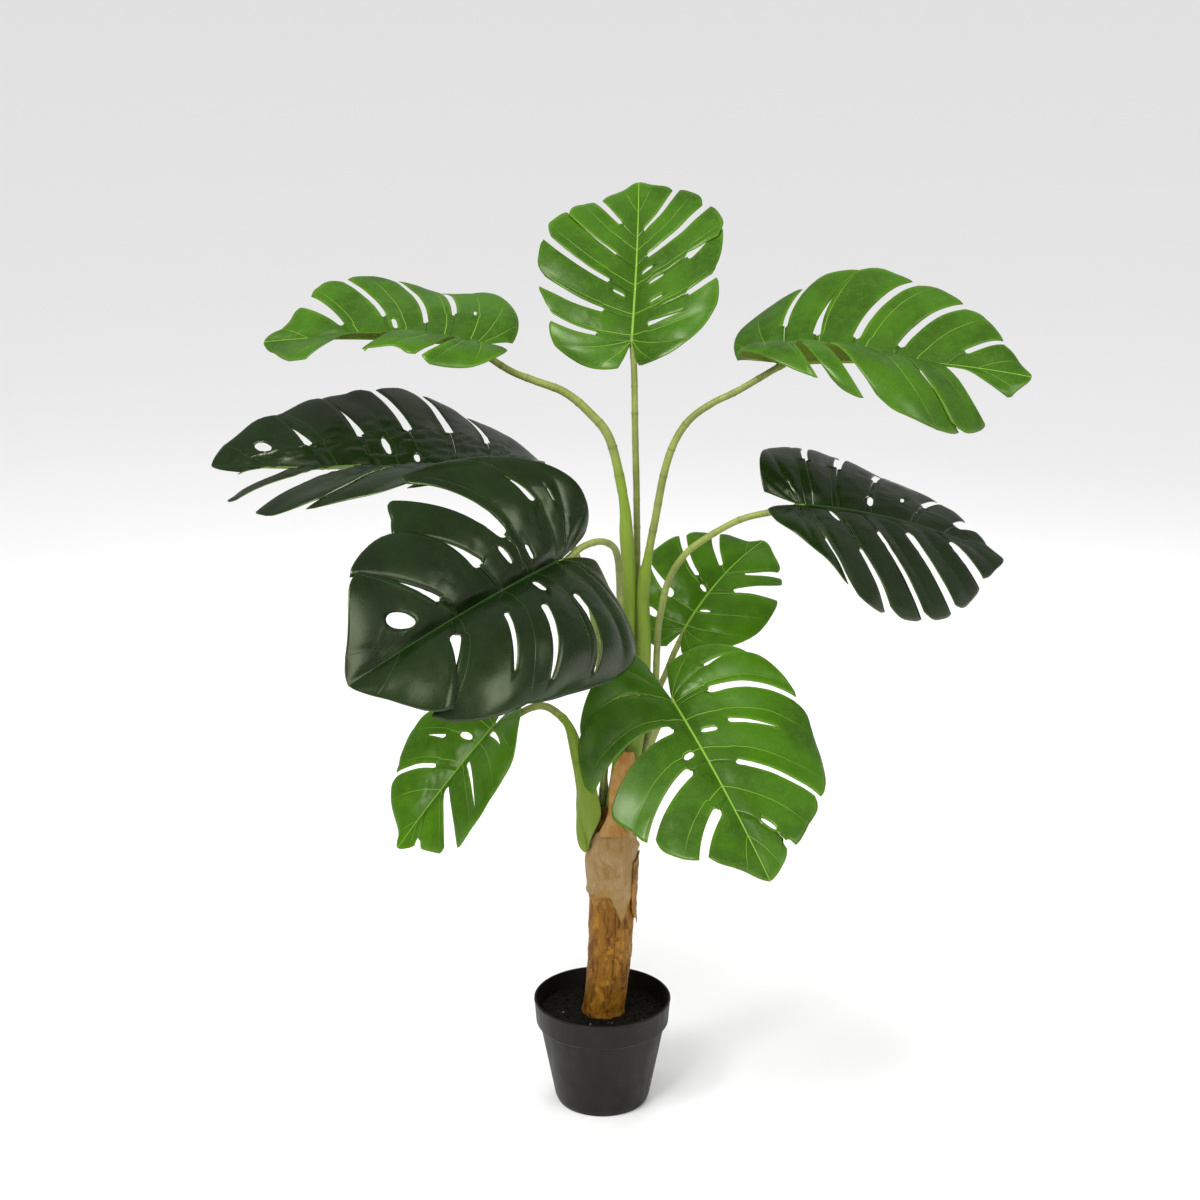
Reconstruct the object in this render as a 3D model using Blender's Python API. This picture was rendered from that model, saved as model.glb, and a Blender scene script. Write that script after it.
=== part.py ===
"""Potted monstera: nine split leaves on arching stems, a bark-wrapped trunk, potting soil and a nursery pot.

Metres, +Z up. The origin is the centre of the pot's base, and -Y is the side that the plant faces.
"""

import math
from typing import NamedTuple

import bmesh
import bpy
from mathutils import Vector

# Pot and soil
POT_HEIGHT = 0.141
POT_RIM_RADIUS = 0.0875
POT_BASE_RADIUS = 0.060
RIM_BAND = 0.032
RIM_STEP = 0.0045
POT_WALL = 0.0022
POT_FLOOR = 0.003
POT_SIDES = 48
SOIL_LEVEL = 0.1235
SOIL_FALL = 0.0035
SOCKET_FLOOR = 0.030
CLEARANCE = 0.0005

# Trunk: height, centre x, centre y, radius
TRUNK = (
    (SOCKET_FLOOR + CLEARANCE, 0.000, 0.000, 0.0250),
    (0.124, 0.001, 0.000, 0.0250),
    (0.160, 0.006, 0.000, 0.0255),
    (0.210, 0.010, 0.000, 0.0265),
    (0.275, 0.012, 0.000, 0.0275),
    (0.330, 0.0115, 0.000, 0.0305),
    (0.372, 0.015, 0.001, 0.0285),
    (0.403, 0.020, 0.002, 0.0265),
)
TRUNK_SIDES = 20

BARK_THICKNESS = 0.0008
BARK_STEP = 0.0012

# Leaves
LOBES = 7
BLADE_THICKNESS = 0.0009
LOBE_ROWS = (0.0, 0.2, 0.4, 0.6, 0.8, 1.0)
CUT_ROWS = (0.3, 0.7)
LEAST_OPENING = 0.006
COLUMN_GAP = 0.2
BASAL_ROUNDING = 0.18
STATIONS = 60
STEM_SIDES_RESOLUTION = 2


class Cut(NamedTuple):
    """A slit or hole along a seam: place in lobes from the sinus, then start and end from midrib to margin.

    A slit's width grows or shrinks to flare times its start, and never below LEAST_OPENING.
    """

    place: float
    start: float
    end: float
    width: float
    flare: float = 0.3


class Half(NamedTuple):
    """One side of a blade: width, tilt and curl at base, middle and tip in degrees, and lobe lengths."""

    width: float
    lift: tuple
    curl: tuple
    reach: tuple
    cuts: tuple


class Leaf(NamedTuple):
    """A blade: where its stem joins, and its midrib's direction, bend, sweep, roll and twist in degrees."""

    name: str
    colour: str
    junction: tuple
    heading: float
    pitch: float
    bend: float
    sweep: float
    roll: float
    twist: float
    length: float
    left: Half
    right: Half


class Stem(NamedTuple):
    """A stem: the route of its centre from the trunk up, and (height share, radius) pairs along it."""

    name: str
    leaf: str
    route: tuple
    radii: tuple


LEAVES = (
    Leaf(
        "top_leaf", "leaf green", (0.035, 0.037, 0.982), 84, 51, 14, 5, -6, -1, 0.243,
        Half(
            1.00, (26, 27, 12), (30, 15, 16), (1.02, 1.08, 0.90, 1.00, 1.04, 0.98, 1.00),
            (
                Cut(2.3, 0.42, 1.0, 0.022, 1.8), Cut(3.3, 0.30, 1.0, 0.022, 2.6),
                Cut(4, 0.09, 0.21, 0.022, 0.0),
                Cut(4.2, 0.26, 1.0, 0.026, 1.2), Cut(5, 0.25, 1.0, 0.016, -1.2),
                Cut(5.8, 0.36, 1.0, 0.026, 1.4),
            ),
        ),
        Half(
            0.98, (33, 22, 15), (40, 19, 16), (0.96, 0.98, 0.98, 0.90, 1.05, 1.06, 1.03),
            (
                Cut(2.8, 0.20, 0.60, 0.028, 0.2), Cut(3.3, 0.66, 1.0, 0.030, 1.5),
                Cut(3.65, 0.20, 0.34, 0.018, 0.0), Cut(4.25, 0.16, 0.32, 0.020, 0.0),
                Cut(4.3, 0.58, 1.0, 0.060, -1.0), Cut(4.7, 0.07, 0.20, 0.024, 0.0),
                Cut(5.05, 0.15, 1.0, 0.032, 1.0), Cut(5.85, 0.14, 1.0, 0.024, 1.2),
            ),
        ),
    ),
    Leaf(
        "upper_left_leaf", "leaf green", (-0.150, -0.013, 0.985), 172, 6, 14, -4, -5, -10, 0.258,
        Half(
            0.97, (32, 37, -7), (80, 70, 62), (1.00, 1.00, 0.98, 0.74, 0.74, 0.94, 1.00),
            (Cut(2.8, 0.30, 1.0, 0.020, 2.0), Cut(4.6, 0.24, 1.0, 0.100, 3.0)),
        ),
        Half(
            1.09, (28, 22, 33), (24, 23, 9), (1.02, 1.03, 1.00, 1.02, 1.10, 1.08, 0.84),
            (
                Cut(2.65, 0.37, 0.45, 0.018, 0.0), Cut(3.3, 0.36, 1.0, 0.020, 2.0),
                Cut(4, 0.20, 1.0, 0.022, 1.2),
                Cut(4.7, 0.10, 0.23, 0.028, 0.0), Cut(4.85, 0.28, 1.0, 0.022, 1.6),
                Cut(5.7, 0.24, 1.0, 0.024, 3.6),
            ),
        ),
    ),
    Leaf(
        "upper_right_leaf", "leaf green", (0.209, -0.015, 0.964), -2, 5, 15, -5, 13, 18, 0.293,
        Half(
            1.02, (21, 26, 9), (14, 18, 32), (1.06, 1.08, 0.98, 1.03, 0.97, 0.93, 0.96),
            (
                Cut(2.5, 0.45, 1.0, 0.018, 1.2), Cut(3.42, 0.24, 1.0, 0.032, -0.8),
                Cut(4.25, 0.20, 1.0, 0.030, 1.2), Cut(5.1, 0.16, 1.0, 0.030, 1.0),
                Cut(6.05, 0.34, 1.0, 0.026, 1.0),
            ),
        ),
        Half(
            1.02, (56, 7, -28), (112, -8, 38), (1.00, 1.00, 0.92, 1.00, 1.04, 1.04, 0.98),
            (
                Cut(2.7, 0.50, 1.0, 0.030, 2.0), Cut(3.5, 0.35, 1.0, 0.040, 1.5),
                Cut(4.9, 0.55, 1.0, 0.014, -2.0), Cut(5.9, 0.22, 1.0, 0.080, 2.2),
            ),
        ),
    ),
    Leaf(
        "dark_left_leaf", "deep green", (-0.130, -0.028, 0.843), 184, 0, 3, -22, 10, -6, 0.345,
        Half(
            1.00, (13, 5, -10), (40, 23, 65), (1.00, 1.00, 1.00, 1.00, 1.06, 1.00, 0.50),
            (
                Cut(3.1, 0.50, 1.0, 0.020, 0.6), Cut(4.1, 0.35, 1.0, 0.012, -2.0),
                Cut(5.1, 0.10, 1.0, 0.080, 1.8), Cut(6, 0.10, 1.0, 0.080, 1.6),
            ),
        ),
        Half(
            1.06, (18, 39, 42), (4, 22, 20), (1.10, 1.10, 1.06, 1.06, 0.97, 1.00, 1.18),
            (
                Cut(2.4, 0.40, 1.0, 0.022, 1.0), Cut(3.35, 0.42, 1.0, 0.032, 0.8),
                Cut(4.1, 0.40, 1.0, 0.034, 0.8),
                Cut(4.15, 0.045, 0.115, 0.022, 0.0), Cut(4.6, 0.13, 0.31, 0.026, 0.0),
                Cut(4.9, 0.36, 1.0, 0.030, -0.6), Cut(5.7, 0.32, 1.0, 0.032, -0.9),
                Cut(6.25, 0.36, 0.62, 0.045, 0.0),
            ),
        ),
    ),
    Leaf(
        "dark_front_leaf", "deep green", (-0.047, -0.170, 0.767), 236, -4, 12, -9, -17, -9, 0.349,
        Half(
            1.00, (-5, 36, -12), (57, 120, 42), (1.00, 1.02, 1.00, 0.98, 0.92, 1.03, 1.00),
            (
                Cut(3.35, 0.30, 0.88, 0.030, 0.6), Cut(3.95, 0.11, 0.23, 0.030, 0.0),
                Cut(4.2, 0.34, 0.86, 0.030, 0.6),
                Cut(4.85, 0.30, 0.74, 0.018, 0.8), Cut(5.65, 0.30, 1.0, 0.044, -1.2),
            ),
        ),
        Half(
            1.00, (73, 52, 49), (72, 58, 12), (0.97, 0.98, 1.02, 1.04, 0.82, 0.98, 1.03),
            (
                Cut(2, 0.45, 0.56, 0.010, 0.0), Cut(2.65, 0.42, 0.66, 0.026, 0.2),
                Cut(3.45, 0.08, 0.17, 0.018, 0.0),
                Cut(3.75, 0.30, 1.0, 0.040, 3.2), Cut(4, 0.13, 0.27, 0.024, 0.0),
                Cut(4.5, 0.28, 1.0, 0.044, -0.9), Cut(5.45, 0.22, 1.0, 0.024, -0.9),
                Cut(6, 0.22, 0.56, 0.060, 0.0),
            ),
        ),
    ),
    Leaf(
        "dark_right_leaf", "deep green", (0.232, -0.056, 0.803), 19, -8, 21, 4, 15, 5, 0.297,
        Half(
            0.99, (40, 21, 13), (68, 45, 30), (0.90, 0.96, 0.97, 0.96, 0.90, 0.84, 0.84),
            (
                Cut(2.8, 0.50, 1.0, 0.026, 1.2), Cut(3.65, 0.50, 1.0, 0.032, 1.4),
                Cut(4.4, 0.50, 1.0, 0.024, 1.0),
                Cut(4.45, 0.08, 0.20, 0.032, 0.0), Cut(5.05, 0.25, 0.36, 0.020, 0.0),
                Cut(5.4, 0.50, 1.0, 0.026, 1.0),
                Cut(6.1, 0.42, 1.0, 0.045, 1.5),
            ),
        ),
        Half(
            1.02, (10, -8, -16), (43, 42, 56), (1.02, 1.00, 1.03, 0.98, 0.97, 0.98, 0.98),
            (
                Cut(2.2, 0.60, 1.0, 0.020, -1.0), Cut(3.25, 0.08, 0.23, 0.024, 0.0),
                Cut(3.4, 0.50, 1.0, 0.024, 1.6), Cut(4.2, 0.26, 1.0, 0.022, 0.9),
                Cut(5, 0.20, 1.0, 0.042, 0.8),
                Cut(5.95, 0.24, 1.0, 0.050, 0.9),
            ),
        ),
    ),
    Leaf(
        "small_back_leaf", "young green", (0.106, 0.145, 0.589), 51, 40, 30, 0, 9, 6, 0.195,
        Half(
            1.02, (9, 23, 2), (38, 16, 36), (1.00, 1.00, 1.00, 1.00, 1.00, 0.96, 0.98),
            (
                Cut(2.5, 0.45, 0.66, 0.050, 0.0), Cut(3.55, 0.35, 0.88, 0.055, 0.5),
                Cut(4.5, 0.04, 0.15, 0.034, 0.0),
                Cut(4.6, 0.28, 1.0, 0.030, 1.4), Cut(5.5, 0.18, 1.0, 0.034, 1.6),
            ),
        ),
        Half(
            0.96, (10, 12, 2), (20, 50, 35), (1.05, 1.05, 1.00, 0.98, 0.96, 1.03, 1.08),
            (
                Cut(3.6, 0.05, 0.20, 0.022, 0.0), Cut(4.6, 0.34, 1.0, 0.036, 3.6),
                Cut(5.35, 0.36, 1.0, 0.022, 2.0),
            ),
        ),
    ),
    Leaf(
        "lower_front_leaf", "leaf green", (0.081, -0.124, 0.585), -69, -18, 18, 5, 5, 0, 0.287,
        Half(
            0.99, (30, 13, 13), (33, 34, 27), (1.14, 1.09, 1.05, 1.02, 0.99, 0.93, 0.98),
            (
                Cut(1.5, 0.52, 1.0, 0.022, -0.8), Cut(2.8, 0.28, 1.0, 0.036, 0.9),
                Cut(3.85, 0.28, 0.66, 0.030, 0.2), Cut(4.05, 0.06, 0.18, 0.026, 0.0),
                Cut(4.9, 0.23, 1.0, 0.030, 0.7), Cut(6, 0.40, 0.66, 0.024, 0.0),
                Cut(6.05, 0.86, 1.0, 0.030, 1.5),
            ),
        ),
        Half(
            0.99, (39, 6, 16), (40, 34, 27), (1.00, 0.98, 1.00, 1.03, 0.94, 0.99, 0.97),
            (
                Cut(2.55, 0.38, 1.0, 0.012, -1.5), Cut(3.8, 0.16, 1.0, 0.042, 2.4),
                Cut(4.55, 0.09, 0.20, 0.032, 0.0), Cut(4.85, 0.22, 1.0, 0.046, 0.6),
                Cut(5.75, 0.24, 1.0, 0.048, 0.6),
            ),
        ),
    ),
    Leaf(
        "lower_left_leaf", "young green", (-0.139, 0.086, 0.477), 212, -41, 10, -9, -9, -10, 0.197,
        Half(
            1.00, (32, 18, -5), (27, 20, 35), (1.10, 1.02, 1.00, 1.00, 1.00, 1.08, 1.00),
            (
                Cut(2.8, 0.14, 0.60, 0.042, 0.3), Cut(4.25, 0.16, 0.86, 0.034, 0.4),
                Cut(5.25, 0.12, 1.0, 0.045, 2.0),
                Cut(6.2, 0.80, 1.0, 0.030, 1.5),
            ),
        ),
        Half(
            1.02, (17, 20, 9), (28, 24, 30), (1.00, 1.00, 1.04, 1.04, 0.93, 0.92, 0.90),
            (
                Cut(3.5, 0.10, 0.26, 0.048, 0.0), Cut(3.75, 0.42, 0.68, 0.034, 0.2),
                Cut(4.75, 0.33, 1.0, 0.034, 1.0),
            ),
        ),
    ),
)

SLIM = ((0.0, 0.0045), (0.3, 0.0042), (1.0, 0.0038))
STEMS = (
    Stem(
        "top_stem", "top_leaf",
        (
            (0.021, 0.008, 0.4035), (0.031, 0.014, 0.480), (0.039, 0.017, 0.560), (0.042, 0.012, 0.650),
            (0.042, 0.007, 0.720), (0.041, 0.012, 0.800), (0.039, 0.022, 0.880), (0.038, 0.029, 0.940),
        ),
        SLIM,
    ),
    Stem(
        "upper_left_stem", "upper_left_leaf",
        (
            (0.012, -0.008, 0.4035), (0.020, -0.008, 0.460), (0.028, -0.005, 0.540), (0.031, -0.006, 0.620),
            (0.032, -0.010, 0.690), (0.029, -0.012, 0.750), (0.025, -0.014, 0.800), (0.009, -0.015, 0.871),
            (-0.015, -0.015, 0.904), (-0.045, -0.015, 0.929), (-0.081, -0.015, 0.943),
            (-0.110, -0.014, 0.955),
        ),
        ((0.0, 0.0070), (0.22, 0.0085), (0.42, 0.0085), (0.52, 0.0055), (1.0, 0.0038)),
    ),
    Stem(
        "upper_right_stem", "upper_right_leaf",
        (
            (0.028, -0.008, 0.4035), (0.038, -0.009, 0.460), (0.048, -0.008, 0.540), (0.051, -0.008, 0.620),
            (0.049, -0.010, 0.680), (0.056, -0.014, 0.735), (0.063, -0.015, 0.774), (0.073, -0.015, 0.830),
            (0.085, -0.015, 0.868), (0.103, -0.015, 0.896), (0.130, -0.015, 0.916), (0.160, -0.015, 0.931),
        ),
        ((0.0, 0.0068), (0.22, 0.0085), (0.38, 0.0080), (0.42, 0.0048), (1.0, 0.0038)),
    ),
    Stem(
        "dark_left_stem", "dark_left_leaf",
        (
            (0.004, 0.012, 0.4035), (0.000, 0.019, 0.470), (-0.002, 0.018, 0.550), (-0.008, 0.010, 0.620),
            (-0.015, 0.000, 0.670), (-0.026, -0.012, 0.715), (-0.043, -0.021, 0.757),
            (-0.068, -0.028, 0.795),
            (-0.095, -0.031, 0.825),
        ),
        SLIM,
    ),
    Stem(
        "dark_front_stem", "dark_front_leaf",
        (
            (-0.001, 0.000, 0.4035), (0.004, -0.004, 0.460), (0.012, -0.012, 0.530), (0.019, -0.021, 0.600),
            (0.021, -0.034, 0.660), (0.020, -0.050, 0.713), (0.017, -0.068, 0.745), (0.010, -0.095, 0.764),
            (-0.004, -0.121, 0.775), (-0.022, -0.139, 0.774), (-0.036, -0.152, 0.766),
            (-0.042, -0.158, 0.7625),
        ),
        SLIM,
    ),
    Stem(
        "dark_right_stem", "dark_right_leaf",
        (
            (0.039, 0.003, 0.4035), (0.052, 0.008, 0.470), (0.064, 0.006, 0.540), (0.0665, -0.003, 0.600),
            (0.0675, -0.014, 0.635), (0.071, -0.024, 0.665), (0.079, -0.030, 0.702), (0.095, -0.035, 0.732),
            (0.116, -0.040, 0.753), (0.160, -0.050, 0.782), (0.200, -0.056, 0.794),
        ),
        SLIM,
    ),
    Stem(
        "small_back_stem", "small_back_leaf",
        (
            (0.033, 0.018, 0.4035), (0.040, 0.026, 0.450), (0.052, 0.046, 0.490), (0.068, 0.078, 0.522),
            (0.082, 0.106, 0.543), (0.092, 0.125, 0.562),
        ),
        SLIM,
    ),
    Stem(
        "lower_front_stem", "lower_front_leaf",
        (
            (0.037, -0.017, 0.4035), (0.045, -0.034, 0.450), (0.055, -0.060, 0.495), (0.065, -0.088, 0.535),
            (0.073, -0.107, 0.562),
        ),
        SLIM,
    ),
    Stem(
        "lower_left_stem", "lower_left_leaf",
        (
            (-0.022, -0.014, 0.346), (-0.025, -0.011, 0.376), (-0.024, -0.006, 0.420),
            (-0.029, 0.004, 0.455),
            (-0.036, 0.022, 0.482), (-0.044, 0.038, 0.497), (-0.056, 0.050, 0.506), (-0.071, 0.060, 0.512),
            (-0.087, 0.070, 0.508), (-0.105, 0.076, 0.497), (-0.122, 0.081, 0.480),
        ),
        ((0.0, 0.0025), (0.12, 0.0080), (0.32, 0.0085), (0.50, 0.0050), (1.0, 0.0038)),
    ),
)

COLOURS = {
    "leaf green": (0.045, 0.155, 0.020),
    "deep green": (0.010, 0.035, 0.012),
    "young green": (0.090, 0.230, 0.015),
    "stem": (0.250, 0.300, 0.075),
    "bark": (0.270, 0.120, 0.025),
    "pale bark": (0.420, 0.280, 0.150),
    "dark bark": (0.120, 0.050, 0.015),
    "pot": (0.018, 0.017, 0.016),
    "soil": (0.008, 0.007, 0.006),
}
ROUGHNESS = {"leaf green": 0.40, "deep green": 0.35, "young green": 0.40, "stem": 0.50, "pot": 0.55}
PLAIN_ROUGHNESS = 0.9


def material(name):
    """The named finish, made once."""
    found = bpy.data.materials.get(name)
    if found:
        return found
    made = bpy.data.materials.new(name)
    made.use_nodes = True
    shader = made.node_tree.nodes["Principled BSDF"]
    shader.inputs["Base Color"].default_value = (*COLOURS[name], 1.0)
    shader.inputs["Roughness"].default_value = ROUGHNESS.get(name, PLAIN_ROUGHNESS)
    shader.inputs["Metallic"].default_value = 0.0
    return made


def add_object(name, data, finish, parent):
    """Puts the mesh or curve in the scene as one named piece of the plant."""
    data.materials.append(material(finish))
    piece = bpy.data.objects.new(name, data)
    bpy.context.scene.collection.objects.link(piece)
    piece.parent = parent
    return piece


def mesh_of(name, shape):
    """Turns a bmesh into a smooth mesh with its faces looking out."""
    bmesh.ops.recalc_face_normals(shape, faces=shape.faces)
    mesh = bpy.data.meshes.new(name)
    shape.to_mesh(mesh)
    shape.free()
    mesh.shade_smooth()
    return mesh


def solidify(piece, thickness, offset):
    """Gives a sheet its thickness."""
    sheet = piece.modifiers.new("thickness", "SOLIDIFY")
    sheet.thickness = thickness
    sheet.offset = offset


# Turned and lofted pieces


def turned(name, profile, finish, parent):
    """A round solid about Z from a closed profile of (radius, height) points that starts and ends on Z."""
    shape = bmesh.new()
    points = [shape.verts.new((radius, 0.0, height)) for radius, height in profile]
    edges = [shape.edges.new(pair) for pair in zip(points, points[1:])]
    bmesh.ops.spin(
        shape,
        geom=points + edges,
        axis=(0, 0, 1),
        cent=(0, 0, 0),
        angle=math.tau,
        steps=POT_SIDES,
        use_duplicate=False,
    )
    bmesh.ops.remove_doubles(shape, verts=shape.verts, dist=1e-5)
    piece = add_object(name, mesh_of(name, shape), finish, parent)
    piece.data.set_sharp_from_angle(angle=math.radians(35))
    return piece


def lofted(name, sections, sides, finish, parent):
    """A solid through level ovals, each (height, x, y, half width, half depth), with flat ends."""
    shape = bmesh.new()
    rings = []
    for height, x, y, half_width, half_depth in sections:
        ring = []
        for side in range(sides):
            angle = math.tau * side / sides
            reach_x, reach_y = half_width * math.cos(angle), half_depth * math.sin(angle)
            ring.append(shape.verts.new((x + reach_x, y + reach_y, height)))
        rings.append(ring)
    for lower, upper in zip(rings, rings[1:]):
        for side in range(sides):
            after = (side + 1) % sides
            shape.faces.new((lower[side], lower[after], upper[after], upper[side]))
    shape.faces.new(rings[0])
    shape.faces.new(rings[-1])
    piece = add_object(name, mesh_of(name, shape), finish, parent)
    piece.data.set_sharp_from_angle(angle=math.radians(50))
    return piece


def make_pot(parent):
    """The nursery pot: a tapered cup with a rim band that stands out a little."""
    under_rim = POT_HEIGHT - RIM_BAND
    body_top = POT_RIM_RADIUS - RIM_STEP - 0.003
    foot = 0.004
    outer = (
        (0.0, 0.0),
        (POT_BASE_RADIUS - foot, 0.0),
        (POT_BASE_RADIUS, foot),
        (body_top, under_rim - 0.003),
        (POT_RIM_RADIUS - 0.003, under_rim),
        (POT_RIM_RADIUS, POT_HEIGHT - 0.001),
        (POT_RIM_RADIUS - 0.001, POT_HEIGHT),
    )
    inner = (
        (POT_RIM_RADIUS - POT_WALL - 0.001, POT_HEIGHT),
        (POT_RIM_RADIUS - POT_WALL - 0.003, under_rim),
        (body_top - POT_WALL, under_rim - 0.003),
        (POT_BASE_RADIUS - POT_WALL - 0.001, POT_FLOOR),
        (0.0, POT_FLOOR),
    )
    turned("pot", outer + inner, "pot", parent)


def make_soil(parent):
    """The soil fills the pot to below its rim, with a socket for the trunk's foot."""
    under_rim = POT_HEIGHT - RIM_BAND
    body_top = POT_RIM_RADIUS - RIM_STEP - 0.003 - POT_WALL
    level = SOIL_LEVEL - SOIL_FALL
    wall_slope = 0.002 / RIM_BAND
    wall_at_level = POT_RIM_RADIUS - POT_WALL - 0.003 + wall_slope * (level - under_rim)
    socket = TRUNK[0][3] + CLEARANCE + 0.001
    turned(
        "soil",
        (
            (0.0, POT_FLOOR + CLEARANCE),
            (POT_BASE_RADIUS - POT_WALL - 0.0016, POT_FLOOR + CLEARANCE),
            (body_top - CLEARANCE, under_rim - 0.003),
            (POT_RIM_RADIUS - POT_WALL - 0.003 - CLEARANCE, under_rim + CLEARANCE),
            (wall_at_level - CLEARANCE, level),
            (0.5 * (wall_at_level + socket), SOIL_LEVEL - 0.0005),
            (socket, SOIL_LEVEL),
            (socket, SOCKET_FLOOR),
            (0.0, SOCKET_FLOOR),
        ),
        "soil",
        parent,
    )


# Trunk and bark


def trunk_at(height):
    """The trunk's centre x, centre y and radius at a height."""
    for lower, upper in zip(TRUNK, TRUNK[1:]):
        if height <= upper[0]:
            share = (height - lower[0]) / (upper[0] - lower[0])
            return tuple(low + share * (high - low) for low, high in zip(lower[1:], upper[1:]))
    return TRUNK[-1][1:]


def bark_sheet(name, start, end, foot, head, layer, finish, parent):
    """A sheet of bark round the trunk between two angles and two heights that vary with the angle."""
    columns = 24
    rows = 8
    shape = bmesh.new()
    grid = []
    for column in range(columns + 1):
        angle = math.radians(start + (end - start) * column / columns)
        low = foot(math.degrees(angle))
        high = head(math.degrees(angle))
        line = []
        for row in range(rows + 1):
            height = low + (high - low) * row / rows
            x, y, radius = trunk_at(height)
            radius += CLEARANCE + layer * BARK_STEP + BARK_THICKNESS
            line.append(shape.verts.new((x + radius * math.cos(angle), y + radius * math.sin(angle), height)))
        grid.append(line)
    for near, far in zip(grid, grid[1:]):
        for row in range(rows):
            shape.faces.new((near[row], far[row], far[row + 1], near[row + 1]))
    mesh = bpy.data.meshes.new(name)
    shape.to_mesh(mesh)
    shape.free()
    mesh.shade_smooth()
    solidify(add_object(name, mesh, finish, parent), BARK_THICKNESS, -1.0)


def make_trunk(parent):
    """The trunk, its three sheets of bark and the dried leaf base in front of the stems."""
    sections = [(height, x, y, radius, radius) for height, x, y, radius in TRUNK]
    lofted("trunk", sections, TRUNK_SIDES, "bark", parent)
    lowest = SOIL_LEVEL + 0.002
    bark_sheet("lower_bark", -80, 265, lambda a: lowest, lambda a: 0.300, 0, "bark", parent)
    bark_sheet(
        "upper_bark", -215, 30,
        lambda a: 0.236 + 0.060 * min(1.0, abs(a + 72) / 90), lambda a: 0.368, 1, "pale bark", parent,
    )
    bark_sheet(
        "side_bark", -45, 60,
        lambda a: 0.232 + 0.0006 * abs(a + 5), lambda a: 0.346 - 0.0004 * abs(a + 10), 2, "dark bark", parent,
    )
    lofted(
        "dried_leaf_base",
        (
            (0.377, 0.0115, -0.0315, 0.0060, 0.0012),
            (0.395, 0.0120, -0.0305, 0.0052, 0.0012),
            (0.420, 0.0160, -0.0285, 0.0090, 0.0014),
            (0.450, 0.0240, -0.0262, 0.0130, 0.0014),
            (0.478, 0.0320, -0.0250, 0.0100, 0.0010),
        ),
        16,
        "bark",
        parent,
    )


# Leaves


def vein_root(place):
    """How far along the midrib the line at this place, counted in lobes from the sinus, starts."""
    return 0.92 * max(0.0, (place / LOBES - 0.28) / 0.72) ** 1.55


def margin(place):
    """The margin of a flat blade one unit long, at this place counted in lobes from the sinus."""
    turn = math.radians(172.0) * (1.0 - place / LOBES)
    ahead = max(0.0, math.cos(turn))
    along = 0.30 + (0.65 if ahead else 0.50) * math.cos(turn) + 0.05 * ahead**40
    return along, 0.50 * math.sin(turn) * (1.0 - 0.35 * ahead**8)


def flat_point(place, out, width, reach):
    """A point of the flat blade: out runs from 0 at the midrib to 1 at the margin, along a bowed line."""
    root = vein_root(place)
    end_x, end_y = margin(place)
    step_x = (end_x - root) * reach
    step_y = end_y * width * reach
    bow = 0.18 * step_y / math.hypot(step_x, step_y)
    middle_x = root + 0.5 * step_x - bow * step_y
    middle_y = 0.5 * step_y + bow * step_x
    near, between, far = (1 - out) ** 2, 2 * out * (1 - out), out * out
    return near * root + between * middle_x + far * (root + step_x), between * middle_y + far * step_y


def through_three(values, along):
    """A smooth value along the midrib from its base, middle and tip values."""
    base, middle, tip = values
    along = min(1.0, max(-0.2, along))
    return (
        base * (along - 0.45) * (along - 1.0) / 0.45
        - middle * along * (along - 1.0) / (0.45 * 0.55)
        + tip * along * (along - 0.45) / 0.55
    )


def direction(heading, pitch):
    """The unit vector that points this way."""
    level = math.cos(pitch)
    return Vector((math.cos(heading) * level, math.sin(heading) * level, math.sin(pitch)))


def midrib(leaf, along):
    """The midrib's point, forward, leftward and upward directions at a share of its length."""
    point = Vector(leaf.junction)
    turn = (math.radians(leaf.heading), math.radians(leaf.sweep))
    tilt = (math.radians(leaf.pitch), math.radians(leaf.bend))
    for step in range(STATIONS):
        share = along * (step + 0.5) / STATIONS
        heading = direction(turn[0] + turn[1] * share, tilt[0] - tilt[1] * share)
        point += heading * (leaf.length * along / STATIONS)
    heading = turn[0] + turn[1] * along
    pitch = tilt[0] - tilt[1] * along
    forward = direction(heading, pitch)
    upward = direction(heading, pitch + math.pi / 2)
    leftward = upward.cross(forward)
    roll = math.radians(leaf.roll + leaf.twist * along)
    rolled_left = leftward * math.cos(roll) + upward * math.sin(roll)
    rolled_up = upward * math.cos(roll) - leftward * math.sin(roll)
    return point, forward, rolled_left, rolled_up


def blade_point(leaf, half, side, place, out, reach, shift):
    """A point of the curled blade. Shift moves it along the blade's margin, to open a cut."""
    x, y = flat_point(place, out, half.width, reach)
    if shift:
        before = flat_point(place - 0.02, out, half.width, reach)
        after = flat_point(place + 0.02, out, half.width, reach)
        span = math.hypot(after[0] - before[0], after[1] - before[1])
        x += shift * (after[0] - before[0]) / span
        y += shift * (after[1] - before[1]) / span
    point, _, leftward, upward = midrib(leaf, x)
    half_width = 0.5 * leaf.length
    lift = math.radians(through_three(half.lift, x))
    curl = math.radians(through_three(half.curl, x))
    if abs(curl) < 1e-3:
        curl = 1e-3
    leaning = lift - curl * y * leaf.length / half_width
    across = half_width / curl * (math.sin(lift) - math.sin(leaning))
    rise = half_width / curl * (math.cos(leaning) - math.cos(lift))
    return point + leftward * (side * across) + upward * rise


def opening(cut, out):
    """Half the width of a cut at this distance out, or nothing outside it and in rows that hold the lobes."""
    first, last = CUT_ROWS
    if out <= max(first, cut.start) or (cut.end < 1.0 and out >= min(last, cut.end)):
        return 0.0
    share = (out - cut.start) / (cut.end - cut.start)
    return 0.5 * max(LEAST_OPENING, cut.width * (1.0 + (cut.flare - 1.0) * share))


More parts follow.
